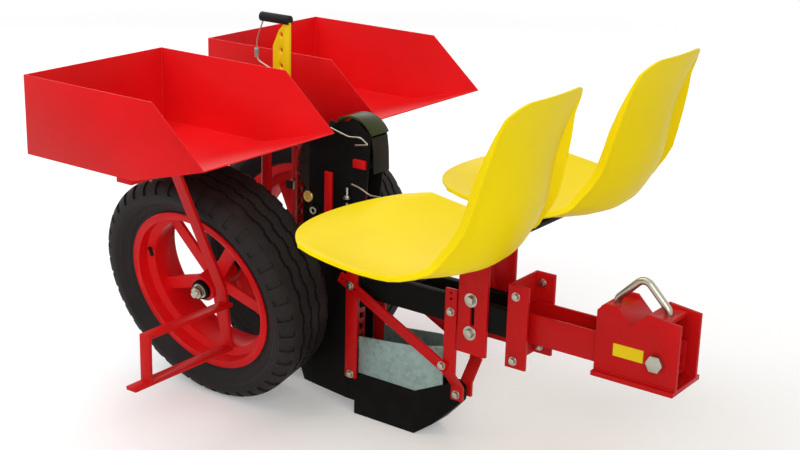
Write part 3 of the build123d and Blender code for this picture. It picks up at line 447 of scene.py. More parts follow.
def apply_modifier(piece, kind, **settings):
    """Adds a modifier with its settings and applies it."""
    only(piece)
    modifier = piece.modifiers.new(kind.lower(), kind)
    for key, value in settings.items():
        setattr(modifier, key, value)
    bpy.ops.object.modifier_apply(modifier=modifier.name)


def smooth(piece, angle=35):
    """Shades a piece smooth where its faces meet at less than an angle in degrees."""
    only(piece)
    bpy.ops.object.shade_smooth_by_angle(angle=radians(angle))


def in_edit(piece, *steps):
    """Runs edit-mode operators on the whole of a mesh, each given as an operator and its settings."""
    only(piece)
    bpy.ops.object.mode_set(mode="EDIT")
    bpy.ops.mesh.select_all(action="SELECT")
    for operator, settings in steps:
        operator(**settings)
    bpy.ops.object.mode_set(mode="OBJECT")


# Distances at which points count as one, in a CAD mesh and in a new one, and degrees that count as flat
CAD_MERGE = 1e-5
MERGE = 1e-6
FLAT = 0.6
# Degrees past the round's own angle up to which a rounded piece is shaded smooth
SMOOTH_MORE = 6


def soft_edged(node, width, segments=2, angle=32, finish=None):
    """A copy of a CAD piece with its edges rounded, in place of the piece."""
    piece = bpy.data.objects.new(f"{node}.finished", frame["nodes"][node].data.copy())
    bpy.context.scene.collection.objects.link(piece)
    in_edit(
        piece,
        (bpy.ops.mesh.remove_doubles, {"threshold": CAD_MERGE}),
        (bpy.ops.mesh.dissolve_limited, {"angle_limit": radians(FLAT)}),
    )
    apply_modifier(
        piece,
        "BEVEL",
        width=width,
        segments=segments,
        limit_method="ANGLE",
        angle_limit=radians(angle),
        use_clamp_overlap=True,
    )
    in_edit(piece, (bpy.ops.mesh.dissolve_degenerate, {"threshold": MERGE}))
    smooth(piece, angle + SMOOTH_MORE)
    settle(piece, f"{node}.finished", SLOT_OF[node], BODY_OF[node], finish)
    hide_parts(node)
    return piece


def facing(axis):
    """Rotation that stands +Z along an axis."""
    return UP.rotation_difference(Vector(axis)).to_matrix().to_4x4()


def at(node, x=0.5, y=0.5, z=0.5):
    """A place in a CAD piece's box, by its shares of the box's length, width and height."""
    low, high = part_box(node)
    return Vector([low[n] + share * (high[n] - low[n]) for n, share in enumerate((x, y, z))])


def pick(piece, wanted):
    """Selects a mesh's faces by their centres and normals, and leaves it in edit mode."""
    only(piece)
    bpy.context.tool_settings.mesh_select_mode = (False, False, True)
    bpy.ops.object.mode_set(mode="EDIT")
    bpy.ops.mesh.select_all(action="DESELECT")
    bpy.ops.object.mode_set(mode="OBJECT")
    for face in piece.data.polygons:
        face.select = wanted(face.center, face.normal)
    bpy.ops.object.mode_set(mode="EDIT")


def polyline(points, closed=False):
    """A line of edges, drawn by extruding one vertex from each point to the next."""
    places = [Vector(point) for point in points]
    bpy.ops.object.select_all(action="DESELECT")
    bpy.ops.mesh.primitive_plane_add(size=0.01, location=(0, 0, 0))
    piece = bpy.context.object
    bpy.context.tool_settings.mesh_select_mode = (True, False, False)
    bpy.ops.object.mode_set(mode="EDIT")
    bpy.ops.mesh.select_all(action="SELECT")
    bpy.ops.mesh.merge(type="CENTER")
    bpy.ops.transform.translate(value=places[0])
    for start, end in zip(places, places[1:]):
        bpy.ops.mesh.extrude_vertices_move(TRANSFORM_OT_translate={"value": end - start})
    bpy.ops.object.mode_set(mode="OBJECT")
    if closed:
        for vertex in piece.data.vertices:
            vertex.select = min((vertex.co - places[n]).length for n in (0, -1)) < CAD_MERGE
        bpy.ops.object.mode_set(mode="EDIT")
        bpy.ops.mesh.edge_face_add()
        bpy.ops.object.mode_set(mode="OBJECT")
    return piece


def turned(section, steps, closed=False):
    """A piece spun about Z from the radius and height of its section's points."""
    piece = polyline([(radius, 0.0, height) for radius, height in section], closed)
    spin = {"steps": steps, "angle": 2 * pi, "center": (0, 0, 0), "axis": UP, "use_auto_merge": True}
    in_edit(piece, (bpy.ops.mesh.spin, spin))
    tidy_mesh(piece)
    return piece


def tidy_mesh(piece):
    """Merges a mesh's doubles and points its faces outwards."""
    in_edit(
        piece,
        (bpy.ops.mesh.remove_doubles, {"threshold": MERGE}),
        (bpy.ops.mesh.normals_make_consistent, {"inside": False}),
    )


# Steps round a bend of a wire or strip, and degrees up to which a wire or bead is shaded smooth
BEND_STEPS = 4
WIRE_SMOOTH = 50
# Edge round of a strip as a share of its thickness, and least angle in degrees of an edge that gets it
STRIP_EDGE = 0.3
STRIP_ANGLE = 50


def bent_wire(points, radius, bend=0.006):
    """A round wire through points, with rounded bends."""
    piece = polyline(points)
    in_edit(piece, (bpy.ops.mesh.bevel, {"offset": bend, "segments": BEND_STEPS, "affect": "VERTICES"}))
    return swept(piece, radius)


def swept(piece, radius, ripple=0.0):
    """A round bar along a line of edges, thinner at every other point by the ripple."""
    only(piece)
    bpy.ops.object.convert(target="CURVE")
    line = bpy.context.object
    line.data.bevel_depth = radius
    line.data.bevel_resolution = 2
    line.data.use_fill_caps = True
    for number, point in enumerate(line.data.splines[0].points):
        point.radius = 1 - ripple * (number % 2)
    bpy.ops.object.convert(target="MESH")
    bar = bpy.context.object
    tidy_mesh(bar)
    smooth(bar, WIRE_SMOOTH)
    return bar


# A weld bead's ripples: their spacing and their depth as shares of its radius
RIPPLE_STEP = 0.8
RIPPLE_DEPTH = 0.2


def weld_bead(start, end):
    """A rippled bead between two points."""
    radius = sizes().bead
    start, end = Vector(start), Vector(end)
    count = max(4, round((end - start).length / (RIPPLE_STEP * radius)))
    line = polyline([start.lerp(end, n / count) for n in range(count + 1)])
    return swept(line, radius, RIPPLE_DEPTH)


def block(centre, size, edge):
    """A box with rounded edges."""
    bpy.ops.object.select_all(action="DESELECT")
    bpy.ops.mesh.primitive_cube_add(size=1.0, location=centre)
    piece = bpy.context.object
    piece.scale = size
    bpy.ops.object.transform_apply(location=True, rotation=True, scale=True)
    apply_modifier(piece, "BEVEL", width=edge, segments=3, limit_method="ANGLE")
    smooth(piece)
    return piece


def strip(points, width, thickness, bend=0.01):
    """A bent sheet of even width across the machine, its line at the middle of the width."""
    middle = Vector((0, width / 2, 0))
    piece = polyline([Vector(point) - middle for point in points])
    in_edit(
        piece,
        (bpy.ops.mesh.bevel, {"offset": bend, "segments": BEND_STEPS, "affect": "VERTICES"}),
        (bpy.ops.mesh.select_all, {"action": "SELECT"}),
        (bpy.ops.mesh.extrude_region_move, {"TRANSFORM_OT_translate": {"value": 2 * middle}}),
    )
    tidy_mesh(piece)
    apply_modifier(piece, "SOLIDIFY", thickness=thickness, offset=0.0)
    edge, angle = STRIP_EDGE * thickness, radians(STRIP_ANGLE)
    apply_modifier(piece, "BEVEL", width=edge, segments=2, limit_method="ANGLE", angle_limit=angle)
    tidy_mesh(piece)
    smooth(piece)
    return piece


# Steps round a thin turned piece and round a washer or other small disc
THIN_STEPS = 20
DISC_STEPS = 32
# A bolt's washer, head, thread, thread ridges and chamfer, as shares of half its head's width
WASHER_SHARE = 0.16
HEAD_SHARE = 0.85
THREAD_SHARE = 0.62
RIDGE_SHARE = 0.08
CHAMFER_SHARE = 0.10
# Chamfer of a washer as a share of its thickness, and spacing of the thread as a share of its ridges
WASHER_LIP = 0.3
RIDGE_STEP = 2.2


def hex_bolt(half_width, spread=1.5, shank=0.0):
    """A hex head with a chamfered crown on a washer, standing on z = 0, with a stub of thread above it when a
    shank is given.
    """
    washer, head = WASHER_SHARE * half_width, HEAD_SHARE * half_width
    top, stub = washer + head, THREAD_SHARE * half_width
    rim, lip = spread * half_width, WASHER_LIP * washer
    section = [(0, 0), (rim, 0), (rim, washer - lip), (rim - lip, washer), (0, washer)]
    disc = turned(section, DISC_STEPS)
    bpy.ops.object.select_all(action="DESELECT")
    bpy.ops.mesh.primitive_cylinder_add(
        vertices=6, radius=half_width * 2 / 3 ** 0.5, depth=head, location=(0, 0, washer + head / 2)
    )
    crown = bpy.context.object
    apply_modifier(crown, "BEVEL", width=CHAMFER_SHARE * half_width, segments=2, limit_method="ANGLE")
    made = [disc, crown]
    if shank > 0:
        end = top + shank
        ridge = RIDGE_SHARE * half_width
        threads = max(2, round(shank / (RIDGE_STEP * ridge)))
        section = [(0, washer), (stub, washer)]
        for n in range(threads):
            level = top + shank * n / threads
            section += [(stub - ridge, level), (stub, level + 0.5 * shank / threads)]
        made.append(turned(section + [(stub - ridge, end), (0, end)], THIN_STEPS))
    bolt = joined(made)
    smooth(bolt)
    return bolt


def joined(pieces):
    """Several pieces made one."""
    bpy.ops.object.select_all(action="DESELECT")
    for piece in pieces:
        piece.select_set(True)
    bpy.context.view_layer.objects.active = pieces[0]
    bpy.ops.object.join()
    bpy.ops.object.transform_apply(location=True, rotation=True, scale=True)
    return bpy.context.object


def copies(model, places):
    """Copies of a model at each (point, axis, turn), joined, in place of the model."""
    made = []
    for point, axis, turn in places:
        piece = bpy.data.objects.new("copy", model.data.copy())
        bpy.context.scene.collection.objects.link(piece)
        piece.matrix_world = Matrix.Translation(point) @ facing(axis) @ Matrix.Rotation(turn, 4, "Z")
        made.append(piece)
    bpy.context.view_layer.update()
    bpy.data.objects.remove(model)
    return joined(made)


def stood(section, steps, place, axis, closed=False):
    """A turned piece, its section given in millimetres, that stands at a place along an axis."""
    section = [(0.001 * radius, 0.001 * height) for radius, height in section]
    return copies(turned(section, steps, closed), [(place, axis, 0.0)])


def fitting(name, slot, section, steps, place, axis, body="frame", closed=False, finish=None):
    """A small turned piece with its finish and its body."""
    piece = stood(section, steps, place, axis, closed)
    smooth(piece)
    return settle(piece, name, slot, body, finish)


# Pieces whose edges are rounded, in pairs and single, with the round as a share of the usual one
ROUNDED = {
    "frame_rail": 1.6, "axle": 1.0, "tray": 0.9, "tray_upright": 1.0, "foot_rest": 1.3, "seat_post": 1.0,
    "shoe_hanger": 1.2, "shoe_strap": 1.2, "shoe_brace": 1.0, "shoe_shield": 0.8, "planter_plate": 0.8,
    "plate_stay": 1.0, "rim": 1.0,
}
ROUNDED_SINGLE = {
    "rail_spacers": 1.0, "tray_crossbar": 1.0, "seat_crossbar": 1.0, "shoe": 1.2, "planting_chain": 0.5,
    "holder_pads": 0.9, "holder_pockets": 0.8, "top_sprocket": 0.7, "bottom_sprocket": 0.7,
    "top_guard": 1.0, "chain_cover": 0.8, "lever": 0.9, "lever_bracket": 0.8, "lever_grip": 2.2,
    "lift_rod": 0.8, "hitch_bracket": 1.2, "tongue": 1.1, "toolbar_clamp": 1.2, "u_bolt": 0.8,
    "pivot_bolt": 1.0,
}
# Pieces whose finish differs from the usual one of their slot; trays and rims take the tray red instead of
# the red darkened as painted shade
OWN_FINISH = {
    "tray": "tray_red",
    "rim": "tray_red",
    "top_sprocket": "dark_steel",
    "bottom_sprocket": "dark_steel",
}


class TRANSPLANTER_OT_frame_finish(bpy.types.Operator):
    """Round the edges of the bars, plates and sheets and give them their finishes"""

    bl_idname = "transplanter.frame_finish"
    bl_label = "Finish Frame"

    def execute(self, context):
        for name, share in ROUNDED.items():
            for side in SIDES:
                soft_edged(f"{name}_{side}", sizes().edge * share, finish=OWN_FINISH.get(name))
        for name, share in ROUNDED_SINGLE.items():
            soft_edged(name, sizes().edge * share, finish=OWN_FINISH.get(name))
        return {"FINISHED"}


# Steps and least angle in degrees of the round on a seat's rim
SEAT_STEPS = 3
SEAT_ANGLE = 50
# Roots of a seat's side flanges in millimetres: below the top, from the middle, from the trays' rear edge
FLANGE_ROOTS = (
    (27.9, 132.6, 1155.0),
    (63.3, 136.3, 1136.9),
    (105.9, 140.3, 1118.7),
    (151.0, 144.8, 1102.9),
)
# Way that a flange leans, back from the sitter, outward and down, and the depth of its foot, which stays
FLANGE_WAY = Vector((0.842, 0.502, -0.200))
FLANGE_FOOT = 0.0035
# Heights below the top between which a flange narrows, and the share of it that goes
RUN_OUT = (0.040, 0.150)
RUN_OUT_SHARE = 0.85


def flange_root(depth):
    """Place of a flange's root, from the middle and from the trays' rear edge, at a depth below the top."""
    spans = list(zip(FLANGE_ROOTS, FLANGE_ROOTS[1:]))
    upper, lower = next((span for span in spans if depth < 0.001 * span[1][0]), spans[-1])
    share = (1000 * depth - upper[0]) / (lower[0] - upper[0])
    return [0.001 * (start + share * (end - start)) for start, end in zip(upper[1:], lower[1:])]


def run_out_flanges(seat, node):
    """Narrows a seat's side flanges towards the top corners."""
    top, middle, rear = at(node, 0, 0, 1).z, at(node).y, at("tray_right", 0).x
    for vertex in seat.data.vertices:
        depth = top - vertex.co.z
        if depth > RUN_OUT[1]:
            continue
        side = 1 if vertex.co.y > middle else -1
        across, along = flange_root(depth)
        way = Vector((FLANGE_WAY.x, side * FLANGE_WAY.y, FLANGE_WAY.z))
        back, out = vertex.co.x - rear - along, side * (vertex.co.y - middle) - across
        length = FLANGE_WAY.x * back + FLANGE_WAY.y * out
        rise = min(1.0, (RUN_OUT[1] - depth) / (RUN_OUT[1] - RUN_OUT[0]))
        share = RUN_OUT_SHARE * rise * rise * (3 - 2 * rise)
        vertex.co -= share * max(0.0, length - FLANGE_FOOT) * way


class TRANSPLANTER_OT_seats(bpy.types.Operator):
    """Round the rims of the moulded seat shells and run their side flanges out at the top"""

    bl_idname = "transplanter.seats"
    bl_label = "Seats"

    def execute(self, context):
        for side in SIDES:
            node = f"seat_{side}"
            seat = soft_edged(node, sizes().seat_edge, SEAT_STEPS, SEAT_ANGLE)
            run_out_flanges(seat, node)
            smooth(seat, SEAT_ANGLE + SMOOTH_MORE)
        return {"FINISHED"}


# Ribs on a tyre's side: share of the way from bead to belly, and how far below the full side
SIDEWALL = (
    (0.0, 0.0), (0.10, 0.0012), (0.13, 0.0), (0.26, 0.0), (0.29, 0.0012), (0.60, 0.0012),
    (0.63, 0.0), (0.69, 0.0), (0.72, 0.0012), (0.86, 0.0012), (1.0, 0.0011),
)
# Places across the tread of the grooves' middles, and of each groove's near and far edges from its middle
GROOVES = (-0.028, 0.0, 0.028)
GROOVE_NEAR = 0.002
GROOVE_FAR = 0.006
GROOVE_EDGES = (GROOVE_FAR, GROOVE_NEAR, -GROOVE_NEAR, -GROOVE_FAR)
# Steps round the tyre from one zigzag or notch to the next, and the steps that a notch takes up
ZIGZAG_STEPS = 8
NOTCH_STEPS = 6
NOTCH_WIDTH = 2
# Degrees round the shoulder between which a notch lies, and at which a tyre's section has its points
NOTCH_ANGLES = (15, 75)
SHOULDER_ANGLES = range(0, 91, 15)
# Belly of a tyre as a share of the way from bead to tread, depth of its toe, and room beside the rim's flange
BELLY_SHARE = 0.45
TYRE_TOE = 0.018
FLANGE_ROOM = 0.004
# How far from the full radius a face still counts as tread, and degrees up to which a tyre is shaded smooth
TREAD_BAND = 0.002
TYRE_SMOOTH = 28


def tyre_section(reach, half, bead, bead_half):
    """Radius and axial place of the points across a tyre, from one bead over the tread to the other."""
    shoulder = sizes().shoulder
    belly = bead + BELLY_SHARE * (reach - bead)
    section = [(bead - TYRE_TOE, bead_half)]
    for share, drop in SIDEWALL:
        section.append((bead + share * (belly - bead), bead_half + share * (half - bead_half) - drop))
    for angle in SHOULDER_ANGLES:
        turn = radians(angle)
        section.append((reach - shoulder + shoulder * sin(turn), half - shoulder + shoulder * cos(turn)))
    other = [(radius, -place) for radius, place in reversed(section)]
    tread = [(reach, middle + edge) for middle in reversed(GROOVES) for edge in GROOVE_EDGES]
    return section + tread + other


def cut_tread(tyre, reach, half):
    """Sinks the zigzag grooves and the shoulder notches of a tyre standing about Z."""
    shoulder, steps = sizes().shoulder, sizes().tyre_steps

    def column(centre):
        return int(atan2(centre.y, centre.x) % (2 * pi) / (2 * pi) * steps)

    def in_groove(centre, normal):
        if abs(hypot(centre.x, centre.y) - reach) > TREAD_BAND:
            return False
        across = min((centre.z - middle for middle in GROOVES), key=abs)
        side = 1 if column(centre) % ZIGZAG_STEPS < ZIGZAG_STEPS / 2 else -1
        return -GROOVE_NEAR < across * side < GROOVE_FAR

    def in_notch(centre, normal):
        out = hypot(centre.x, centre.y) - (reach - shoulder)
        along = abs(centre.z) - (half - shoulder)
        first, last = (radians(angle) for angle in NOTCH_ANGLES)
        return out > 0 and first < atan2(out, along) < last and column(centre) % NOTCH_STEPS < NOTCH_WIDTH

    for wanted, depth in ((in_groove, sizes().groove), (in_notch, sizes().notch)):
        pick(tyre, wanted)
        bpy.ops.mesh.extrude_region_shrink_fatten(TRANSFORM_OT_shrink_fatten={"value": -depth})
        bpy.ops.object.mode_set(mode="OBJECT")
    tidy_mesh(tyre)


class TRANSPLANTER_OT_tyres(bpy.types.Operator):
    """Spin the tyres and cut their tread"""

    bl_idname = "transplanter.tyres"
    bl_label = "Tyres"

    def execute(self, context):
        for side in SIDES:
            node, body = f"tyre_{side}", f"wheel_{side}"
            axis = Vector(JOINT_OF[body]["axis"])
            lean, stand = abs(axis.z), abs(axis.y)
            tyre_size = at(node, 1, 1, 1) - at(node, 0, 0, 0)
            rim_size = at(f"rim_{side}", 1, 1, 1) - at(f"rim_{side}", 0, 0, 0)
            shoulder, reach, flange = sizes().shoulder, tyre_size.x / 2, rim_size.x / 2
            half = (tyre_size.y / 2 - shoulder - (reach - shoulder) * lean) / stand + shoulder
            bead_half = (rim_size.y / 2 - flange * lean) / stand - FLANGE_ROOM
            section = tyre_section(reach, half, flange + FLANGE_ROOM, bead_half)
            tyre = turned(section, sizes().tyre_steps, True)
            cut_tread(tyre, reach, half)
            tyre = copies(tyre, [(JOINT_OF[body]["pos_m"], axis, 0.0)])
            smooth(tyre, TYRE_SMOOTH)
            settle(tyre, f"{node}.finished", SLOT_OF[node], body)
            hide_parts(node)
        return {"FINISHED"}


# A seat post's bolts: share of its box along, heights above and below the rail, and turns of their heads
POST_BOLT_ALONG = 0.44
POST_BOLT_ABOVE = 0.005
POST_BOLT_BELOW = 0.009
POST_BOLT_TURNS = (0.2, 0.7)
# Bolts of the bracket, a shoe hanger's head and foot, and other bars, as shares of their boxes along and up
BRACKET_BOLTS = ((0.4, 0.87), (0.4, 0.09))
HANGER_HEAD = (0.5, 0.81)
HANGER_FOOT = (0.45, 0.05)
BAR_BOLTS = (
    ("shoe_strap", 0.5, 0.035),
    ("shoe_brace", 0.12, 0.843),
    ("shoe_brace", 0.95, 0.10),
    ("tray_upright", 0.5, 0.09),
)
# Thickness of the plate that the bracket's nuts and a hanger's foot bolt stand on
BOLTED_PLATE = 0.008
# Turn from one bolt head to the next, of the bracket's nuts, and from one nut below to the next
HEAD_TURN = 0.37
BRACKET_NUT_TURN = 0.3
UNDER_NUT_TURN = 0.4
# Nuts under a seat and a tray, from its middle
SEAT_NUTS = (-0.02, 0.02)
TRAY_NUTS = (-0.13, 0.15)
# Washers of the post bolts, as a share of the head, and the thread that shows below a nut
POST_WASHER = 1.7
NUT_THREAD = 0.006


def post_bolts(side):
    """Places of a seat post's bolts, just above and just below the rail."""
    rail_low, rail_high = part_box(f"frame_rail_{side}")
    head = at(f"seat_post_{side}", POST_BOLT_ALONG, OUTER[side])
    levels = zip((rail_high.z + POST_BOLT_ABOVE, rail_low.z - POST_BOLT_BELOW), POST_BOLT_TURNS)
    return [(Vector((head.x, head.y, level)), OUTWARD[side], turn) for level, turn in levels]


def frame_bolts(side):
    """Places of the bolts through the bars and the hitch bracket of one side."""
    outer, outward = OUTER[side], OUTWARD[side]
    bracket = [at("hitch_bracket", along, outer, up) for along, up in BRACKET_BOLTS]
    hanger = f"shoe_hanger_{side}"
    head = at(hanger, HANGER_HEAD[0], outer, HANGER_HEAD[1])
    foot = at(hanger, HANGER_FOOT[0], 1 - outer, HANGER_FOOT[1]) + BOLTED_PLATE * outward
    heads = bracket + [head, foot]
    heads += [at(f"{bar}_{side}", along, outer, up) for bar, along, up in BAR_BOLTS]
    nuts = [(place - BOLTED_PLATE * outward, -outward, BRACKET_NUT_TURN) for place in bracket]
    return [(place, outward, HEAD_TURN * number) for number, place in enumerate(heads)] + nuts


def under_nuts(side):
    """Places of the nuts under the bars that carry a seat and a tray."""
    seat, tray = at(f"seat_{side}").y, at(f"tray_{side}").y
    bench, rack = at("seat_crossbar", 0.5, 0.5, 0), at("tray_crossbar", 0.5, 0.5, 0)
    places = [Vector((bench.x, seat + shift, bench.z)) for shift in SEAT_NUTS]
    places += [Vector((rack.x, tray + shift, rack.z)) for shift in TRAY_NUTS]
    return [(place, DOWN, UNDER_NUT_TURN * number) for number, place in enumerate(places)]


class TRANSPLANTER_OT_bolts(bpy.types.Operator):
    """Bolt the frame, the posts, the seats and the trays together"""

    bl_idname = "transplanter.bolts"
    bl_label = "Bolts"

    def execute(self, context):
        for side in SIDES:
            groups = (
                ("post_bolts", hex_bolt(sizes().post_bolt, POST_WASHER), post_bolts(side)),
                ("frame_bolts", hex_bolt(sizes().frame_bolt), frame_bolts(side)),
                ("under_nuts", hex_bolt(sizes().small_bolt, shank=NUT_THREAD), under_nuts(side)),
            )
            for name, model, places in groups:
                settle(copies(model, places), f"{name}_{side}", "bright_steel", "frame")
        return {"FINISHED"}


# Radius of a spindle's collar, and its nut's washer, thread and turn
COLLAR_R = 0.024
HUB_WASHER = 1.35
HUB_THREAD = 0.009
HUB_NUT_TURN = 0.25
# Valve stem: angle round the wheel, radius and axial place of its foot, lean of the stem outward
VALVE_ANGLE = 161.0
VALVE_FOOT = (0.181, 0.030)
VALVE_LEAN = 0.75
# Radius and height in millimetres of the points up a valve stem
VALVE_SECTION = ((0, 0), (6, 0), (6, 2), (4.6, 5), (3.6, 15), (4.4, 16), (4.4, 25), (3.6, 26.5), (0, 26.5))


class TRANSPLANTER_OT_wheel_fittings(bpy.types.Operator):
    """Add the spindle nuts and the valve stems"""

    bl_idname = "transplanter.wheel_fittings"
    bl_label = "Wheel Fittings"

    def execute(self, context):
        for side in SIDES:
            joint = JOINT_OF[f"wheel_{side}"]
            middle, axis = Vector(joint["pos_m"]), Vector(joint["axis"]).normalized()
            axis = axis if axis.dot(OUTWARD[side]) > 0 else -axis
            end = abs(at(f"axle_{side}", 0, OUTER[side]).y - middle.y)
            reach = (end - COLLAR_R * abs(axis.z)) / abs(axis.y)
            nut = hex_bolt(sizes().hub_nut, HUB_WASHER, HUB_THREAD)
            nut = copies(nut, [(middle + reach * axis, axis, HUB_NUT_TURN)])
            settle(nut, f"spindle_nut_{side}", "bright_steel", "frame")
            across = Vector((1, 0, 0))
            rise = across.cross(axis) if across.cross(axis).z > 0 else axis.cross(across)
            turn = radians(VALVE_ANGLE)
            spoke = cos(turn) * across + sin(turn) * rise
            foot = middle + VALVE_FOOT[0] * spoke + VALVE_FOOT[1] * axis
            stem, body, lean = f"valve_stem_{side}", f"wheel_{side}", VALVE_LEAN * axis - spoke
            fitting(stem, "black_rubber", VALVE_SECTION, THIN_STEPS, foot, lean, body)
        return {"FINISHED"}


# Bearings and cap on the planter plates, as shares of the plate along and up
BEARING_PLACE = (0.11, 0.587)
CAP_PLACE = (0.0, 0.639)
# Radius and height in millimetres of the points up the turned pieces, and the steps round the larger ones
BEARING_SECTION = ((0, 0), (16, 0), (16, 3), (15, 4), (11, 5), (10, 8), (0, 8))
RACE_SECTION = ((5, 7), (9, 7), (9, 9.5), (8.5, 10), (5.5, 10), (5, 9.5))
CAP_SECTION = ((0, 0), (13.5, 0), (13.5, 4), (12.5, 5.2), (6, 5.2), (5.5, 3.5), (0, 3.5))
STUD_SECTION = ((0, 0), (2.6, 0), (3.2, 0.6), (3.2, 56.4), (2.6, 57), (0, 57))
BEARING_STEPS = 40
CAP_STEPS = 36
# Near-side trim of the planting unit, in millimetres from the trays' rear edge, across and up
FLAP_LINE = ((592, 0, 664), (597, 0, 630), (599, 0, 582))
GUIDE_WIRE = ((478, 0, 669), (530, 0, 657), (563, 0, 661), (585, 0, 648), (549, 0, 641))
HOOK_WIRE = ((540, 0, 549), (562, 0, 545), (592, 0, 533), (620, 0, 534))
LUG_PLACE = (532, -7, 511)
STUD_FOOT = (532, -7, 484)
STUD_NUT = (532, -7, 516)
CLIP_PLACE = (563, -3, 600)
# Sizes and edge rounds of the flap, the stud's lug and nut, and the clip
FLAP_WIDTH = 0.056
FLAP_THICKNESS = 0.003
LUG_SIZE = (0.018, 0.014, 0.010)
LUG_EDGE = 0.0015
STUD_NUT_HALF = 0.0062
STUD_WASHER = 1.6
STUD_NUT_TURN = 0.2
CLIP_SIZE = (0.034, 0.010, 0.020)
CLIP_EDGE = 0.002
# Share of the guide wires' radius that they stand off the plate
WIRE_OFF = 0.7


def from_rear(points, across=0.0):
    """Points given in millimetres from the rear edge of the trays, in metres in the frame."""
    rear = at("tray_right", 0).x
    return [Vector((rear + 0.001 * x, across + 0.001 * y, 0.001 * z)) for x, y, z in points]


class TRANSPLANTER_OT_planter_trim(bpy.types.Operator):
    """Add the bearings, guide wires, flap and stud of the planting unit"""

    bl_idname = "transplanter.planter_trim"
    bl_label = "Planter Trim"

    def execute(self, context):
        for side in SIDES:
            outward = OUTWARD[side]
            seat = at(f"planter_plate_{side}", BEARING_PLACE[0], OUTER[side], BEARING_PLACE[1])
            bearing, race = f"shaft_bearing_{side}", f"bearing_race_{side}"
            fitting(bearing, "black_paint", BEARING_SECTION, BEARING_STEPS, seat, outward)
            fitting(race, "bright_steel", RACE_SECTION, DISC_STEPS, seat, outward, closed=True)
        near = at("planter_plate_right", 0.5, 0)
        seat = at("planter_plate_right", CAP_PLACE[0], 0, CAP_PLACE[1])
        outward = OUTWARD["right"]
        fitting("shaft_cap", "bright_steel", CAP_SECTION, CAP_STEPS, seat, outward, finish="brass")
        wire = sizes().wire
        edge = near.y - WIRE_OFF * wire
        wires = [bent_wire(from_rear(points, edge), wire) for points in (GUIDE_WIRE, HOOK_WIRE)]
        settle(joined(wires), "guide_wires", "bright_steel", "frame")
        flap = strip(from_rear(FLAP_LINE), FLAP_WIDTH, FLAP_THICKNESS)
        settle(flap, "hood_flap", "black_rubber", "frame")
        places = from_rear([LUG_PLACE, STUD_FOOT, STUD_NUT, CLIP_PLACE], near.y)
        lug_place, stud_foot, nut_place, clip_place = places
        settle(block(lug_place, LUG_SIZE, LUG_EDGE), "stud_lug", "black_paint", "frame")
        stud = stood(STUD_SECTION, THIN_STEPS, stud_foot, UP)
        nut = copies(hex_bolt(STUD_NUT_HALF, STUD_WASHER), [(nut_place, UP, STUD_NUT_TURN)])
        stud = joined([stud, nut])
        smooth(stud)
        settle(stud, "tension_stud", "bright_steel", "frame")
        settle(block(clip_place, CLIP_SIZE, CLIP_EDGE), "holder_clip", "red_paint", "frame")
        return {"FINISHED"}


# Release wire and its sleeve's foot, in millimetres from the trays' rear edge, across and up
RELEASE_WIRE = ((250, 0, 880), (232, 0, 836), (230, 0, 814), (230, 0, 793), (236, 0, 784), (280, 0, 768))
SLEEVE_FOOT = (230, 0, 792)
# Radius and height in millimetres of the points up the sleeve
SLEEVE_SECTION = ((0, 0), (4, 0), (5, 1), (5, 20), (4, 21), (0, 21))
# Radius of the release wire as a share of the guide wires'
RELEASE_SHARE = 0.7


class TRANSPLANTER_OT_lever_release(bpy.types.Operator):
    """Hang the release wire and its sleeve on the hand lever"""

    bl_idname = "transplanter.lever_release"
    bl_label = "Lever Release"

    def execute(self, context):
        wire = bent_wire(from_rear(RELEASE_WIRE), RELEASE_SHARE * sizes().wire)
        settle(wire, "release_wire", "bright_steel", "frame")
        foot, = from_rear([SLEEVE_FOOT])
        fitting("wire_sleeve", "galvanised_sheet", SLEEVE_SECTION, THIN_STEPS, foot, UP)
        return {"FINISHED"}


# The clamp's cheeks from its sides, its base, and how far the beads stop short of the cheeks' ends
CHEEK_SET_IN = 0.012
BASE_THICKNESS = 0.010
BEAD_SHORT = 0.006
# Share of a bead's radius that its middle stands out of the corner
BEAD_OUT = 0.3
# Blank plate: shares of the clamp along and up, size, edge round, middle off the cheek, border and sink
PLATE_PLACE = (0.41, 0.414)
PLATE_SIZE = (0.068, 0.0016, 0.027)
PLATE_EDGE = 0.0005
PLATE_OUT = 0.0003
PLATE_BORDER = 0.002
PLATE_SINK = 0.0003
# Least share of a normal that faces the near side
FULL_FACE = 0.999


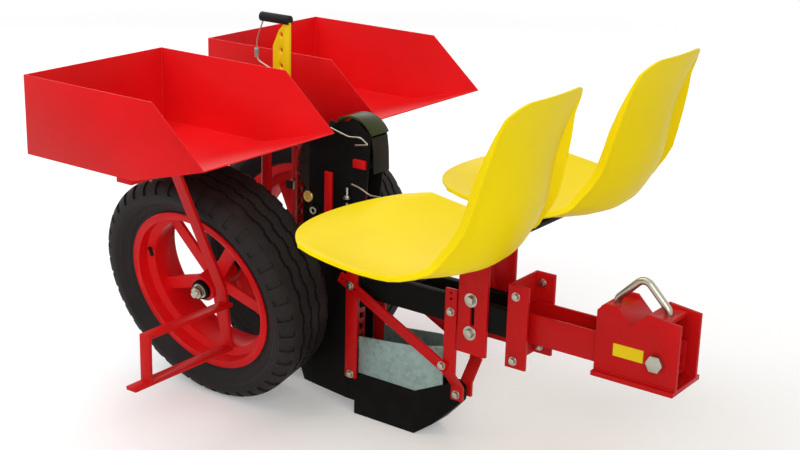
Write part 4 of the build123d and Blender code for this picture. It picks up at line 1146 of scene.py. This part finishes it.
class TRANSPLANTER_OT_hitch_dressing(bpy.types.Operator):
    """Add the hitch's weld beads and a blank plate on the clamp's near cheek"""

    bl_idname = "transplanter.hitch_dressing"
    bl_label = "Hitch Dressing"

    def execute(self, context):
        low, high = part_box("tongue")
        step = BEAD_OUT * sizes().bead
        x = low.x + step
        corners = [(low.y - step, low.z - step), (high.y + step, low.z - step)]
        corners += [(high.y + step, high.z + step), (low.y - step, high.z + step)]
        sides = zip(corners, corners[1:] + corners[:1])
        beads = [weld_bead((x, *start), (x, *end)) for start, end in sides]
        settle(joined(beads), "tongue_welds", SLOT_OF["tongue"], "frame")
        low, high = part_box("toolbar_clamp")
        beads = []
        for y in (low.y + CHEEK_SET_IN - step, high.y - CHEEK_SET_IN + step):
            z = low.z + BASE_THICKNESS + step
            beads.append(weld_bead((low.x + BEAD_SHORT, y, z), (high.x - BEAD_SHORT, y, z)))
        settle(joined(beads), "clamp_welds", SLOT_OF["toolbar_clamp"], "toolbar_clamp")
        face = low.y + CHEEK_SET_IN
        middle = at("toolbar_clamp", PLATE_PLACE[0], 0, PLATE_PLACE[1])
        plate = block((middle.x, face - PLATE_OUT, middle.z), PLATE_SIZE, PLATE_EDGE)
        pick(plate, lambda centre, normal: normal.y < -FULL_FACE)
        bpy.ops.mesh.inset(thickness=PLATE_BORDER, depth=-PLATE_SINK)
        bpy.ops.object.mode_set(mode="OBJECT")
        settle(plate, "blank_plate", "yellow_paint", "toolbar_clamp")
        return {"FINISHED"}


class TRANSPLANTER_OT_stage(bpy.types.Operator):
    """Set the floor, the lights and the camera"""

    bl_idname = "transplanter.stage"
    bl_label = "Stage"

    def execute(self, context):
        pale_floor()
        studio_lights()
        photo_camera()
        context.scene.view_settings.view_transform = "Standard"
        return {"FINISHED"}


# Floor's side, its drop below the wheels, and the two tones of its paint
FLOOR_SIDE = 60.0
FLOOR_DROP = 0.0005
FLOOR_TONES = ((0.88, 0.88, 0.88), (0.90, 0.90, 0.90))
# Share of white that the floor gives off near the machine and far from it, and where near ends and far begins
NEAR_GLOW = (0.22, 0.22, 0.22)
FAR_GLOW = (0.60, 0.60, 0.60)
GLOW_REACH = (1.2, 6.5)


def pale_floor():
    """A plain floor that keeps the shadow, lifted to white where it is seen."""
    bpy.ops.object.select_all(action="DESELECT")
    bpy.ops.mesh.primitive_plane_add(size=FLOOR_SIDE, location=(0, 0, -FLOOR_DROP))
    floor = bpy.context.object
    floor.name = "pale_floor"
    finish = Finish("pale_floor")
    tone = finish.mix(finish.noise(scale=0.6, detail=2.0), *FLOOR_TONES)
    distance = finish.node("ShaderNodeVectorMath", {"operation": "LENGTH"}, {0: finish.place()}, "Value")
    glow = finish.mix(finish.band(distance, *GLOW_REACH), NEAR_GLOW, FAR_GLOW)
    glow = finish.mix(finish.seen(), (0.0, 0.0, 0.0), glow)
    paint = finish.shade(
        Base_Color=tone,
        Roughness=0.9,
        Specular_IOR_Level=0.0,
        Emission_Color=glow,
        Emission_Strength=1.0,
    )
    floor.data.materials.append(paint)


# Area lamps: name, place, target, size in metres and power in watts
LAMPS = (
    ("overhead_softbox", (-1.2, -1.0, 3.6), (0.0, 0.0, 0.4), 3.2, 70.0),
    ("front_softbox", (3.0, -3.2, 2.4), (0.0, 0.0, 0.4), 2.6, 78.0),
    ("rear_softbox", (-2.6, 2.6, 2.6), (0.0, 0.0, 0.5), 2.4, 36.0),
)
# Strength of the white room as light on the machine, where it is 1 as seen
ROOM_LIGHT = 0.45
ROOM_WHITE = (1.0, 1.0, 1.0, 1.0)


def studio_lights():
    """Soft lamps round the machine in a white room."""
    for name, place, target, size, power in LAMPS:
        lamp = bpy.data.lights.new(name, "AREA")
        lamp.shape = "SQUARE"
        lamp.size = size
        lamp.energy = power
        holder = bpy.data.objects.new(name, lamp)
        bpy.context.scene.collection.objects.link(holder)
        holder.location = place
        aim = Vector(target) - Vector(place)
        holder.rotation_euler = aim.to_track_quat("-Z", "Y").to_euler()
    world = bpy.data.worlds.new("studio")
    studio = Nodes(world, "ShaderNodeOutputWorld")
    strength = ROOM_LIGHT + (1 - ROOM_LIGHT) * studio.seen()
    sockets = {"Color": ROOM_WHITE, "Strength": strength}
    studio.surface(studio.node("ShaderNodeBackground", None, sockets))
    bpy.context.scene.world = world


# The photograph's view, worked out from the object's own edges: place, degrees and millimetres
VIEW_PLACE = (1.8387, -2.5776, 1.494)
VIEW_AZIMUTH = 35.69
VIEW_ELEVATION = 17.90
VIEW_ROLL = 1.528
VIEW_LENS = 66.97
VIEW_SENSOR = 36.0
VIEW_FAR = 200.0


def photo_camera():
    """A camera where the photograph was taken from."""
    data = bpy.data.cameras.new("photo_view")
    data.lens = VIEW_LENS
    data.sensor_width = VIEW_SENSOR
    data.clip_end = VIEW_FAR
    camera = bpy.data.objects.new("photo_view", data)
    bpy.context.scene.collection.objects.link(camera)
    azimuth, elevation = radians(VIEW_AZIMUTH), radians(VIEW_ELEVATION)
    back = Vector((sin(azimuth) * cos(elevation), -cos(azimuth) * cos(elevation), sin(elevation)))
    right = UP.cross(back).normalized()
    up = back.cross(right)
    roll = radians(VIEW_ROLL)
    rolled_right = right * cos(roll) + up * sin(roll)
    rolled_up = up * cos(roll) - right * sin(roll)
    turn = Matrix((rolled_right, rolled_up, back)).transposed().to_4x4()
    camera.matrix_world = Matrix.Translation(VIEW_PLACE) @ turn
    bpy.context.scene.camera = camera


class TRANSPLANTER_PT_panel(bpy.types.Panel):
    """Lists the dressing steps"""

    bl_idname = "TRANSPLANTER_PT_panel"
    bl_label = "Transplanter"
    bl_space_type = "VIEW_3D"
    bl_region_type = "UI"
    bl_category = "Transplanter"

    def draw(self, context):
        for step in STEPS:
            self.layout.operator(step.bl_idname)


STEPS = (
    TRANSPLANTER_OT_frame_finish,
    TRANSPLANTER_OT_seats,
    TRANSPLANTER_OT_tyres,
    TRANSPLANTER_OT_wheel_fittings,
    TRANSPLANTER_OT_bolts,
    TRANSPLANTER_OT_planter_trim,
    TRANSPLANTER_OT_lever_release,
    TRANSPLANTER_OT_hitch_dressing,
    TRANSPLANTER_OT_stage,
)
CLASSES = (PaintColours, WorkSizes, *STEPS, TRANSPLANTER_PT_panel)


def register():
    for cls in CLASSES:
        bpy.utils.register_class(cls)
    bpy.types.Scene.transplanter_paint = PointerProperty(type=PaintColours)
    bpy.types.Scene.transplanter_sizes = PointerProperty(type=WorkSizes)


def unregister():
    del bpy.types.Scene.transplanter_sizes
    del bpy.types.Scene.transplanter_paint
    for cls in reversed(CLASSES):
        bpy.utils.unregister_class(cls)


def main():
    """Dresses the frame."""
    register()
    make_finishes()
    for step in STEPS:
        group, name = step.bl_idname.split(".")
        getattr(getattr(bpy.ops, group), name)()


if __name__ == "__main__":
    main()
